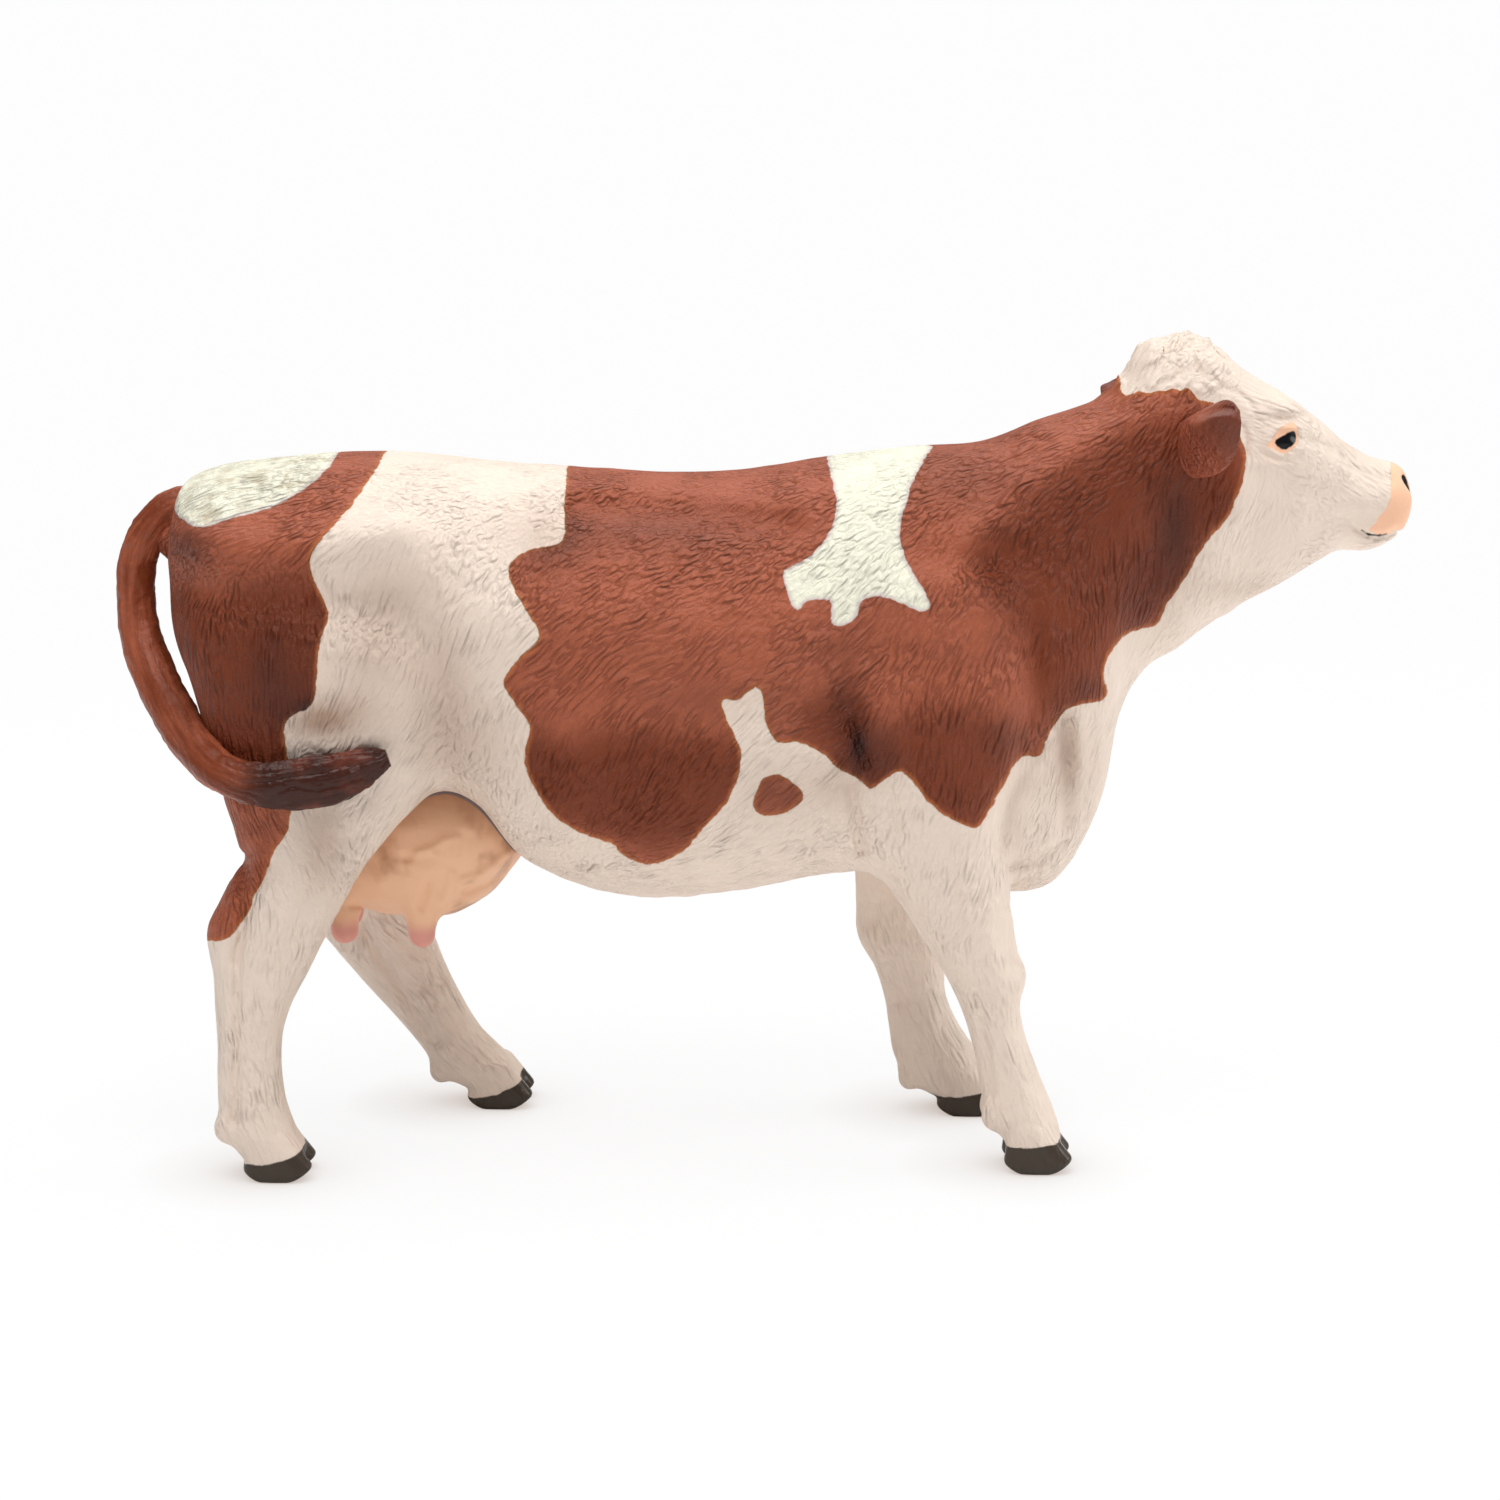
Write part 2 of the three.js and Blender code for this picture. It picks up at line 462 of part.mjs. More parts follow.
function makeTail() {
  const sections = smoothStations(TAIL_STATIONS);
  const centres = sections.map((at) => new THREE.Vector3(at.x, at.y, at.height));
  const rings = sections.map((at, i) => {
    const along = centres[Math.min(i + 1, centres.length - 1)].clone()
      .sub(centres[Math.max(i - 1, 0)]).normalize();
    const outward = new THREE.Vector3(0, -1, 0);
    outward.addScaledVector(along, -outward.dot(along)).normalize();
    const across = new THREE.Vector3().crossVectors(along, outward);
    return turns(TAIL_SIDES).map((angle) => centres[i].clone()
      .addScaledVector(across, at.radius * Math.cos(angle))
      .addScaledVector(outward, at.depth * Math.sin(angle)));
  });
  const [, root, bend] = TAIL_STATIONS;
  const start = new THREE.Vector3((root.x + bend.x) / 2, root.y, (root.height + bend.height) / 2);
  const forwards = new THREE.Vector3(1, 0, 0);
  return {
    body: loft(rings),
    peg: peg(TAIL_PEG_RADIUS, TAIL_PEG_LENGTH, start, forwards),
    socket: peg(TAIL_PEG_RADIUS + GLUE_GAP, TAIL_PEG_LENGTH + GLUE_GAP, start, forwards),
  };
}

function teat({ x, out }, side) {
  const geometry = new THREE.CapsuleGeometry(TEAT_RADIUS, TEAT_LENGTH, 4, TAIL_SIDES);
  geometry.rotateX(Math.PI / 2);
  geometry.translate(x, side * out, TEAT_ROOT_HEIGHT - TEAT_LENGTH / 2 + TEAT_RADIUS);
  return solid(geometry);
}

const legs = {
  right_foreleg: makeLeg(RIGHT_FORELEG_STATIONS, RIGHT, HOOVES.right_foreleg),
  left_foreleg: makeLeg(LEFT_FORELEG_STATIONS, LEFT, HOOVES.left_foreleg),
  right_hind_leg: makeLeg(RIGHT_HIND_LEG_STATIONS, RIGHT, HOOVES.right_hind_leg),
  left_hind_leg: makeLeg(LEFT_HIND_LEG_STATIONS, LEFT, HOOVES.left_hind_leg),
};
const legList = Object.values(legs);
const ears = { right_ear: makeEar(RIGHT), left_ear: makeEar(LEFT) };
const earList = Object.values(ears);
const tail = makeTail();

const torso = barrel(TRUNK_STATIONS);
const torsoGrown = barrel(TRUNK_STATIONS, GLUE_GAP);
const skull = turnHead(barrel(HEAD_STATIONS));
const skullGrown = turnHead(barrel(HEAD_STATIONS, GLUE_GAP));

const lean = THREE.MathUtils.degToRad(NECK_SEAM.lean);
const neckAxis = new THREE.Vector3(Math.cos(lean), 0, Math.sin(lean));
const neckMiddle = new THREE.Vector3(NECK_SEAM.x, 0, NECK_SEAM.height);
const neckFront = halfSpace(neckMiddle.clone().addScaledVector(neckAxis, GLUE_GAP / 2), neckAxis);
const neckBack = halfSpace(
  neckMiddle.clone().addScaledVector(neckAxis, -GLUE_GAP / 2), neckAxis.clone().negate());
const neckPegRoot = neckMiddle.clone().addScaledVector(neckAxis, PEG_ROOT);
const neckPegLength = PEG_ROOT + NECK_PEG_LENGTH;
const neckPegAxis = neckAxis.clone().negate();

const udderBody = Manifold.union([
  barrel(UDDER_STATIONS),
  teat(FRONT_TEAT, RIGHT),
  teat(FRONT_TEAT, LEFT),
  teat(REAR_TEAT, RIGHT),
  teat(REAR_TEAT, LEFT),
]);

const trunk = Manifold.union([torso.intersect(neckBack), ...legList.map((leg) => leg.upper)])
  .subtract(Manifold.union([
    ...legList.map((leg) => leg.socket),
    barrel(UDDER_STATIONS, GLUE_GAP),
    tail.socket,
    peg(NECK_PEG_RADIUS + GLUE_GAP, neckPegLength + GLUE_GAP, neckPegRoot, neckPegAxis),
  ]));
const headAndNeck = Manifold.union([torso, skull]).intersect(neckFront)
  .add(peg(NECK_PEG_RADIUS, neckPegLength, neckPegRoot, neckPegAxis))
  .subtract(Manifold.union(earList.map((ear) => ear.socket)));
const bodyGrown = Manifold.union([torsoGrown, ...legList.map((leg) => leg.grown)]);
const neckGrown = Manifold.union([torsoGrown, skullGrown]);

const cow = new THREE.Group();
cow.name = 'cow_figurine';
cow.add(namedMesh('trunk', mainBody(trunk), coat));
cow.add(namedMesh('head_and_neck', mainBody(headAndNeck), coat));
for (const [name, ear] of Object.entries(ears)) {
  cow.add(namedMesh(name, mainBody(ear.leaf.subtract(neckGrown)).add(ear.peg), coat));
}
for (const [name, leg] of Object.entries(legs)) {
  cow.add(namedMesh(name, mainBody(leg.lower.subtract(torsoGrown)).add(leg.peg), white));
}
const legsGrown = Manifold.union(legList.map((leg) => leg.grown));
cow.add(namedMesh('udder', mainBody(udderBody.subtract(legsGrown)), flesh));
cow.add(namedMesh('tail', mainBody(tail.body.subtract(bodyGrown)).add(tail.peg), hair));

export default cow;
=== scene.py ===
"""Cow figurine: a painted toy cow in ten mouldings, drawn over its CAD frame and photographed from its right.

Shapes are worked out in millimetres, +X forward, +Y the cow's left, +Z up, and go into the meshes in metres.
"""

import math
from itertools import product

import bmesh
import bpy
import numpy as np
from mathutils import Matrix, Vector


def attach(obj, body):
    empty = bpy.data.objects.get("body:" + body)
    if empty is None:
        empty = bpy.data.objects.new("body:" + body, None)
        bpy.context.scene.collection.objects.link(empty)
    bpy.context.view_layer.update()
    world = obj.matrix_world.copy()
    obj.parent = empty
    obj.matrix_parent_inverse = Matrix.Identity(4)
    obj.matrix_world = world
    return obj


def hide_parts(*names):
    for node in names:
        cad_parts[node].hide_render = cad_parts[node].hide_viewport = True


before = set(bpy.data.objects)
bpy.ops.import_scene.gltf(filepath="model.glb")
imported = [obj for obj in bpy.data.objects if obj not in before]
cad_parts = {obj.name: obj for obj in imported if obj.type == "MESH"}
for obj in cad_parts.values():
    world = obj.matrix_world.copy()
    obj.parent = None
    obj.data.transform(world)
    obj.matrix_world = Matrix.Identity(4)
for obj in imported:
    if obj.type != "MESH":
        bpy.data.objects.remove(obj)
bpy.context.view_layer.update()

bl_info = {
    "name": "Cow figurine",
    "version": (1, 0, 0),
    "blender": (4, 5, 0),
    "location": "View3D > Sidebar > Cow",
    "description": "Builds a painted toy cow, piece by piece, with a studio to photograph it in",
    "category": "Add Mesh",
}

METRES = 0.001

# The side view, from the cow's right: its frame is 1500 units across
VIEW_UNITS = 1500
EYE = np.array((-1.8, -480.0, 150.0))
TARGET = np.array((-1.8, 0.0, 43.7))
FOCAL_UNITS = 4527.0
SENSOR_WIDTH = 36.0

# Where the mouldings meet
LEG_SEAM_HEIGHT = 27.0
NECK_SEAM = {"x": 35.5, "height": 66.0, "lean": 18.0}

# Trunk and neck, from the rump forwards: place, top, bottom, half of the width, height where it is widest,
# sideways place of the middle, fullness of the section below its widest height
TRUNK_STATIONS = (
    (-63.8, 68.5, 58.5, 5.5, 64, 0, 2),
    (-62.6, 72.8, 53, 9, 66, 0, 2),
    (-58.5, 74.7, 46, 12.8, 66, 0, 2),
    (-52, 75.5, 42, 15.8, 64, 0, 2.2),
    (-45, 76, 41, 17.2, 62, 0, 2.5),
    (-37, 75.7, 40.5, 17.8, 58, 0, 2.9),
    (-31, 75.3, 38.5, 18.7, 54, 0, 2.8),
    (-26, 74.9, 32.5, 19.6, 51, 0, 2.3),
    (-18, 74.4, 28.7, 20.8, 48, 0, 2),
    (-10, 73.9, 28, 21.4, 47, 0, 2),
    (-2, 74.3, 29, 21.2, 47.5, 0, 2),
    (8, 75.9, 30.7, 19.6, 49, 0, 2),
    (16, 76.8, 30.4, 18, 51, 0, 2),
    (23, 77.4, 28.6, 16.4, 53, 0, 1.9),
    (29, 79.7, 28.1, 14.3, 56, 0, 1.7),
    (33, 81, 31, 12.6, 59, 0.1, 1.6),
    (36.5, 82.2, 38.5, 11.2, 62, 0.4, 1.5),
    (38.2, 82.8, 47.5, 10.4, 65, 0.6, 1.5),
    (41, 83.5, 52.6, 9.6, 68, 1, 1.5),
    (45, 83.8, 55, 8.8, 69, 1.8, 1.5),
    (49, 82, 59, 7.8, 70, 3, 1.5),
)
CROWN_FULLNESS = 2.2

# Head, along its own axis from the poll, turned to the cow's left
HEAD_TURN = math.radians(17)
POLL = (42.0, 1.0)
HEAD_STATIONS = (
    (-4, 84, 66, 5.5, 75, 0, 2),
    (-1.5, 87.4, 62, 6.6, 77, 0, 1.8),
    (2, 88.7, 59, 7.2, 77, 0, 1.7),
    (5, 88.2, 58, 7.6, 77, 0, 1.7),
    (9, 85.1, 58.9, 7.9, 77, 0, 1.7),
    (13.5, 82.4, 60.8, 8, 76.5, 0, 1.7),
    (16, 80.7, 62, 7.2, 75, 0, 1.7),
    (18.5, 78.8, 63.4, 6.2, 73, 0, 1.8),
    (21, 76.8, 64.5, 5.5, 71.5, 0, 1.9),
    (24, 75, 64.3, 5.2, 70.5, 0, 2),
    (26, 74.2, 64.9, 5.3, 70, 0, 2),
    (27.6, 73.8, 66, 4.9, 70.6, 0, 2),
    (28.6, 72.8, 68.6, 3.4, 71, 0, 2),
)

# Legs from the hoof up: height, rear edge, front edge
RIGHT_FORELEG = (
    (1.5, 26.6, 32), (4, 25, 31.7), (6.5, 23.6, 30.9), (10, 22.9, 29.5), (14, 22.1, 28),
    (18, 20.8, 27.2), (21.5, 19.2, 27.8), (24.5, 17.4, 26.9), (28.6, 14.8, 26.1), (33, 12.4, 25.4),
    (37, 9.8, 24.7), (40, 8.6, 24.9), (45, 8, 25.6), (54, 8.5, 26.5), (62, 11, 24),
)
LEFT_FORELEG = (
    (1.5, 18.8, 25.6), (4, 15.7, 25), (6.5, 14.4, 23.9), (9.8, 13.8, 21.6), (13.3, 13.2, 20.2),
    (16.6, 12.1, 20.1), (20, 10.3, 20.4), (23.5, 10.1, 20.6), (28, 9.8, 21), (33, 8.6, 21.6),
    (37, 7.3, 22), (40, 6.8, 22.6), (45, 6.6, 24), (54, 7.5, 25.5), (62, 11, 24),
)
RIGHT_HIND_LEG = (
    (1.5, -56.2, -49.4), (3.5, -57.4, -49.8), (5.5, -58.5, -50.8), (9, -58.9, -51.8), (14, -58.8, -52),
    (18, -58.9, -51.2), (22.5, -59.1, -48.9), (27, -59.6, -46.6), (30.5, -58, -44.8), (34.5, -56.1, -42.3),
    (38, -56.6, -39.4), (41, -57.6, -37), (45, -58.4, -36), (52, -60.3, -36.5), (60, -61.6, -39),
    (67, -57, -44),
)
LEFT_HIND_LEG = (
    (1.5, -33.4, -27.4), (3.5, -36.6, -28), (5.5, -38.2, -29.4), (9, -40.8, -32.6), (13.5, -44.8, -35),
    (18, -48.5, -36.9), (22.5, -51.9, -38.5), (26, -52.9, -39), (30, -51.8, -38.6), (34, -51.4, -37.4),
    (38, -52.4, -35.4), (41, -53.8, -34.2), (45, -56, -33.5), (52, -59.5, -34.5), (60, -60.5, -38),
    (67, -56, -43),
)
# At each height of a leg: its middle's distance from the median plane, and half of its width
FORELEG_WIDTHS = (
    (10.6, 3.6), (10.6, 4), (10.6, 3.9), (10.7, 3.5), (10.8, 3.4), (10.9, 3.8), (11, 4.4), (11.1, 4.6),
    (11.2, 5.1), (11.3, 5.6), (11.2, 6.2), (11, 6.7), (10.6, 7.2), (9.5, 7), (8, 4),
)
HIND_LEG_WIDTHS = (
    (13.4, 3.6), (13.4, 4), (13.4, 4), (13.4, 3.6), (13.4, 3.4), (13.4, 3.7), (13.2, 4.1), (13, 4.5),
    (12.8, 4.9), (12.5, 5.5), (12, 6.1), (11.8, 6.6), (11.4, 7), (10.8, 7.2), (9.8, 6.6), (9, 4),
)
LEG_FULLNESS = 2.2
LEG_ROUNDING = 1.5
RIGHT, LEFT = -1, 1
# Toe's place, and heights of the dewclaws and of the horn at heel and toe
LEGS = {
    "right_foreleg": {
        "edges": RIGHT_FORELEG, "widths": FORELEG_WIDTHS, "side": RIGHT,
        "toe": 34.2, "dewclaws": 6.0, "heel_horn": 3.1, "toe_horn": 3.9,
    },
    "left_foreleg": {
        "edges": LEFT_FORELEG, "widths": FORELEG_WIDTHS, "side": LEFT,
        "toe": 27.8, "dewclaws": 4.2, "heel_horn": 2.3, "toe_horn": 3.8,
    },
    "right_hind_leg": {
        "edges": RIGHT_HIND_LEG, "widths": HIND_LEG_WIDTHS, "side": RIGHT,
        "toe": -47.5, "dewclaws": 5.5, "heel_horn": 2.0, "toe_horn": 4.3,
    },
    "left_hind_leg": {
        "edges": LEFT_HIND_LEG, "widths": HIND_LEG_WIDTHS, "side": LEFT,
        "toe": -25.1, "dewclaws": 4.2, "heel_horn": 1.3, "toe_horn": 5.1,
    },
}

# Hooves: two claws with a cleft between them, and two dewclaws
CLAW_LENGTH = 8.8
CLAW_WIDTH = 3.9
CLAW_TOP = 5.2
CLAW_FULLNESS = 2.4
CLEFT_WIDTH = 0.5
TOE_SLOPE = math.radians(52)
HEEL_SLOPE = math.radians(82)
LEAST_CLAW = 0.5
SOLE_ROUNDING = 0.7
# Share that a claw narrows by, between two heights
CLAW_TAPER = (0.12, 1.5, 5)
# Lift of the sole, between two shares of the claw's length
TOE_LIFT = (2.2, 0.55, 1.1)
HEEL_LIFT = (0.9, 0.25, -0.05)
DEWCLAW = {"depth": 1.3, "width": 1.0, "height": 1.5, "spacing": 3.8, "sink": 0.65}
# Height that the hooves stay under, and how far they blend into the leg
HOOF_REACH = 12
CLAW_BLEND = 0.5
DEWCLAW_BLEND = 1.2

# Udder, from its rear forwards, in the same columns as the trunk, and its teats: place, distance from the
# middle
UDDER_STATIONS = (
    (-51.5, 43, 34, 4, 39, 0, 2),
    (-48.5, 44, 29.2, 6.2, 37, 0, 2.1),
    (-44, 44, 26.4, 7.2, 36, 0, 2.2),
    (-39.5, 44, 25.6, 8.8, 35.5, 0, 2.2),
    (-35, 44, 25.6, 9.4, 35.5, 0, 2.2),
    (-30.6, 43.5, 27.6, 8.7, 36, 0, 2.1),
    (-27.6, 41, 30.9, 6, 36, 0, 2),
    (-25.8, 35, 33.4, 2.4, 34.2, 0, 2),
)
TEATS = ((-37.4, 5.4), (-45.9, 3.6))
TEAT_RADIUS = 1.45
TEAT_TIP_HEIGHT = 23.0
TEAT_ROOT_HEIGHT = 28.5
TEAT_BLEND = 2.0

# Tail, from its root in the rump to the tip of the switch: place, half of the height, half of the depth
TAIL_STATIONS = (
    (-60.5, 0, 70.8, 2.1, 2.1),
    (-63.8, 0, 70.2, 2.1, 2.1),
    (-66.3, 0, 67.7, 2.1, 2.1),
    (-67.7, 0, 64.4, 2.1, 2.1),
    (-67.9, -0.6, 60, 2.1, 2.1),
    (-67, -2.2, 55.6, 2.3, 2.2),
    (-64.7, -5.5, 51.3, 2.4, 2.2),
    (-62, -10, 48.3, 2.4, 2.2),
    (-59.3, -15, 46.3, 2.3, 2),
    (-56.3, -18.4, 45, 2.1, 1.8),
    (-52.8, -19.9, 44.4, 2.3, 1.6),
    (-48.7, -20.3, 44.6, 2.7, 1.5),
    (-44.5, -20.2, 45.3, 2.5, 1.4),
    (-41.2, -20, 46.7, 1.7, 1.2),
    (-39.5, -19.9, 47.3, 0.9, 0.8),
)

# Ears in the head's own directions: root and tip, and along them the half width, thickness and hollow
EAR_ROOT = (0.6, 4.4, 75.4)
EAR_TIP = (1.7, 17.6, 82.4)
EAR_FACING = (1, -0.6, -0.35)
# How much lower the tip of an ear is held, and the lie of its hair: cosine and sine of twice the angle
EAR_DROOP = {RIGHT: 0.0, LEFT: 1.3}
EAR_LIE = (-0.17, 0.98, 0)
EAR_STATIONS = (
    (0, 1.7, 3, 0.2),
    (0.22, 2.6, 2.7, 0.6),
    (0.42, 3.4, 2.3, 1),
    (0.6, 3.6, 1.8, 1.2),
    (0.76, 3.2, 1.4, 1.1),
    (0.9, 2.2, 1, 0.7),
    (1, 0.8, 0.6, 0.2),
)

# Coat patches, as outlines in the side view; they run on past the silhouette to close
BARREL_PATCH = (
    (566, 400), (567, 468), (564, 503), (562, 541), (530, 549), (511, 563), (509, 577), (520, 600),
    (539, 636), (520, 657), (503, 682), (515, 704), (530, 727), (525, 750), (528, 775), (550, 812),
    (578, 832), (610, 843), (622, 854), (646, 865), (680, 854), (706, 826), (726, 804), (738, 776),
    (741, 752), (732, 729), (721, 701), (738, 700), (757, 686), (763, 700), (766, 725), (778, 742),
    (799, 743), (823, 754), (838, 769), (858, 778), (869, 789), (881, 783), (900, 771), (913, 782),
    (928, 802), (951, 819), (976, 828), (986, 816), (1001, 790), (1021, 757), (1039, 757), (1049, 735),
    (1067, 709), (1101, 701), (1108, 690), (1104, 677), (1109, 656), (1127, 634), (1156, 625),
    (1166, 606), (1184, 580), (1204, 546), (1228, 517), (1242, 484), (1246, 457), (1240, 436), (1217, 406),
    (1208, 402), (1200, 399), (1193, 393), (1187, 388), (1180, 391), (1173, 388), (1166, 391), (1158, 390),
    (1150, 393), (1141, 391), (1132, 393), (1121, 389), (1110, 330), (1000, 330), (800, 380),
)
RUMP_PATCH = (
    (395, 400), (383, 456), (370, 478), (350, 508), (318, 543), (310, 562), (315, 582), (329, 613),
    (320, 643), (317, 678), (312, 706), (294, 714), (284, 731), (288, 756), (291, 812), (285, 836),
    (275, 850), (266, 876), (254, 896), (248, 914), (235, 932), (222, 940), (206, 940), (150, 930),
    (60, 800), (60, 450), (200, 380),
)
BELLY_SPOT = (
    (759, 787), (764, 778), (777, 774), (790, 780), (801, 790), (802, 800), (792, 809), (774, 816),
    (759, 814), (753, 805), (755, 797),
)
SADDLE_PATCH = (
    (822, 400), (828, 463), (836, 499), (831, 529), (810, 556), (785, 569), (783, 580), (792, 606),
    (799, 610), (807, 601), (830, 601), (831, 621), (840, 627), (855, 619), (862, 601), (880, 596),
    (903, 604), (918, 611), (928, 610), (931, 602), (912, 571), (903, 550), (901, 526), (913, 481),
    (924, 460), (950, 400),
)
TAIL_HEAD_PATCH = (
    (150, 470), (171, 496), (175, 512), (184, 521), (202, 528), (232, 518), (253, 513), (274, 507),
    (306, 488), (323, 473), (336, 456), (350, 400), (200, 420),
)
MUZZLE_PATCH = (
    (1396, 440), (1391, 463), (1391, 480), (1391, 494), (1387, 507), (1379, 517), (1372, 526), (1370, 531),
    (1378, 535), (1388, 535), (1397, 530), (1450, 520), (1450, 440),
)
FORELOCK = (
    (1100, 300), (1119, 386), (1131, 390), (1150, 390), (1173, 387), (1187, 387), (1200, 396), (1214, 392),
    (1226, 378), (1230, 360), (1232, 300),
)
EYE_RIM = (
    (1266, 445), (1273, 438), (1278, 430), (1286, 424), (1294, 423), (1298, 430), (1298, 440), (1294, 448),
    (1287, 453), (1279, 452), (1272, 449),
)
EYE_BALL = (
    (1274, 442), (1281, 437), (1288, 432), (1295, 432), (1296, 439), (1292, 446), (1286, 450), (1279, 448),
)
LIPS = ((1362, 530), (1368, 534), (1377, 535.5), (1387, 534))
MOUTH = ((1356, 528), (1364, 533), (1374, 537), (1386, 536), (1396, 530))

# Muscles and hollows in the side view: middle, reach across, reach down, height in millimetres, fullness:
# 1 is a bell, and more is a flatter top with steeper sides
SIDE_BUMPS = (
    (400, 530, 70, 52, 1.7, 1),
    (348, 692, 84, 72, 1.6, 2),
    (250, 655, 46, 60, 0.3, 1),
    (495, 622, 55, 42, 0.7, 1),
    (468, 770, 70, 50, -0.8, 1),
    (650, 622, 140, 46, 0.9, 1),
    (640, 780, 130, 40, -0.4, 1),
    (952, 614, 76, 46, 1.2, 2),
    (1095, 716, 20, 18, 0.6, 1),
    (1110, 565, 80, 70, -1.2, 1),
    (1012, 560, 38, 24, -0.7, 1),
    (997, 692, 40, 44, 0.6, 1),
    (890, 735, 30, 50, 0.8, 1),
    (1068, 690, 30, 42, 0.5, 1.5),
    (1170, 525, 34, 60, -0.8, 1),
    (1240, 505, 30, 40, 0.4, 1),
    (594, 872, 13, 5, 0.5, 1),
    (640, 879, 13, 4, 0.5, 1),
)
# Creases in the side view, and ridges where the depth is less than 0: depth in millimetres, reach, line
SIDE_CREASES = (
    (0.45, 13, ((836, 660), (846, 705), (856, 738), (868, 768))),
    (0.5, 5, ((850, 722), (857, 742), (867, 766))),
    (0.7, 6, ((851, 788), (855, 815), (861, 850))),
    (0.3, 6, ((890, 790), (893, 832))),
    (0.9, 20, ((332, 608), (393, 618), (427, 650), (438, 700), (434, 748))),
    (-0.8, 18, ((1150, 412), (1080, 450), (1020, 490), (975, 540))),
    (0.6, 8, ((1042, 745), (1020, 775), (1005, 805), (1000, 830), (1001, 845))),
    (-1.5, 24, ((190, 545), (250, 554), (312, 548), (395, 528))),
    (0.6, 16, ((200, 590), (250, 596), (306, 590))),
    (1.1, 15, ((575, 508), (660, 512), (720, 518), (790, 526))),
    (0.5, 10, ((1030, 600), (1036, 660), (1034, 710), (1022, 752))),
    (0.9, 8, ((1065, 722), (1066, 770), (1064, 825))),
    (0.5, 5, ((1010, 867), (1037, 862), (1063, 843))),
    (-0.35, 5, ((1079, 725), (1082, 765))),
    (0.4, 6, ((1091, 712), (1093, 780), (1088, 840))),
    (0.13, 4, ((835, 652), (900, 650), (950, 640), (965, 627))),
    (0.13, 4, ((870, 672), (920, 672), (960, 668), (1000, 668))),
)
RIGHT_LEG_CREASES = (
    (0.6, 7, ((247, 855), (243, 900), (238, 940), (234, 960))),
    (0.5, 13, ((318, 864), (311, 900), (303, 935))),
    (-0.4, 12, ((277, 890), (269, 950), (271, 1010))),
    (0.3, 8, ((1000, 930), (1012, 960), (1008, 990))),
    (0.6, 5, ((266, 864), (250, 908), (240, 944), (237, 985), (236, 1045), (234, 1120))),
    (0.35, 5, ((978, 1000), (986, 1050), (992, 1095))),
)
LEFT_LEG_CREASES = (
    (0.6, 8, ((362, 925), (391, 970), (413, 1005), (436, 1040))),
    (0.4, 8, ((876, 905), (880, 925), (890, 965), (900, 1000))),
)

# Direction of the hair in the side view: place, degrees from level, rising to the cow's front
HAIR_FLOW = (
    (900, 480, 45), (720, 500, 42), (600, 490, 45), (650, 640, 34), (560, 660, 38), (640, 790, 58),
    (700, 850, 42), (800, 700, 37), (480, 480, 35), (480, 570, 62), (410, 620, 72), (520, 760, 68),
    (270, 640, 98), (230, 500, 30), (300, 490, 40), (370, 760, 55), (280, 860, 110), (300, 960, 82),
    (250, 1060, 96), (290, 1140, 110), (400, 960, 130), (450, 1060, 125), (980, 620, 62), (930, 760, 80),
    (960, 900, 72), (1020, 990, 100), (1030, 1100, 105), (880, 950, 100), (930, 1060, 105), (1080, 470, 38),
    (1110, 600, 76), (1080, 720, 84), (1060, 840, 86), (1250, 520, 74), (1330, 500, 150), (1180, 360, 60),
    (1300, 400, 160), (1180, 560, 96),
)

# Dark wash and painted shade in hollows and under ledges, with the tail's painted shadow on the rump and hind
# leg, in the side view: middle, reach across, reach down, strength
WASHES_AND_SHADE = (
    (1175, 530, 22, 60, 0.65),
    (1140, 600, 30, 50, 0.25),
    (845, 705, 20, 34, 0.35),
    (858, 746, 10, 22, 0.7),
    (880, 740, 22, 24, 0.35),
    (836, 650, 30, 26, 0.2),
    (1086, 688, 12, 14, 0.4),
    (270, 665, 30, 60, 0.3),
    (188, 545, 22, 22, 0.6),
    (285, 690, 40, 50, 0.25),
    (1015, 740, 26, 26, 0.3),
    (880, 770, 24, 20, 0.3),
    (396, 590, 60, 30, 0.5),
    (376, 652, 50, 54, 0.7),
    (446, 690, 34, 70, 0.6),
    (470, 750, 50, 50, 0.5),
    (318, 722, 26, 16, 1.1),
    (345, 716, 40, 24, 0.8),
    (322, 842, 26, 50, 0.9),
    (545, 540, 38, 34, 0.45),
    (660, 530, 130, 26, 0.32),
    (725, 700, 80, 20, 0.3),
    (836, 785, 32, 26, 0.55),
    (770, 790, 40, 36, 0.35),
    (960, 480, 70, 32, 0.28),
    (880, 590, 44, 26, 0.2),
    (1066, 748, 13, 40, 0.8),
    (1030, 784, 14, 16, 0.4),
    (1016, 825, 12, 40, 0.5),
    (1075, 775, 28, 50, 0.4),
    (1240, 590, 50, 14, 0.4),
)

# Where the brown is laid on deeper, partly as painted shade where the coat faces down or lies under a ledge,
# as outlines in the side view: neck, thigh, belly, arm
DEEP_BROWN_AND_SHADE = (
    (
        (1150, 425), (1232, 428), (1250, 480), (1215, 540), (1170, 610), (1130, 650), (1105, 700),
        (1045, 725), (1022, 660), (1000, 605), (972, 560), (1020, 505), (1085, 458),
    ),
    (
        (130, 580), (215, 592), (312, 577), (340, 615), (330, 650), (326, 720), (290, 770),
        (130, 770),
    ),
    (
        (490, 722), (560, 738), (640, 726), (720, 735), (760, 760), (740, 815), (680, 850),
        (600, 840), (540, 815), (500, 780),
    ),
    (
        (800, 730), (850, 690), (884, 735), (910, 712), (970, 712), (1015, 740), (985, 840),
        (930, 815), (870, 800),
    ),
)
# Width of the soft edge of the deeper brown and its painted shade
DEEP_EDGE = 34

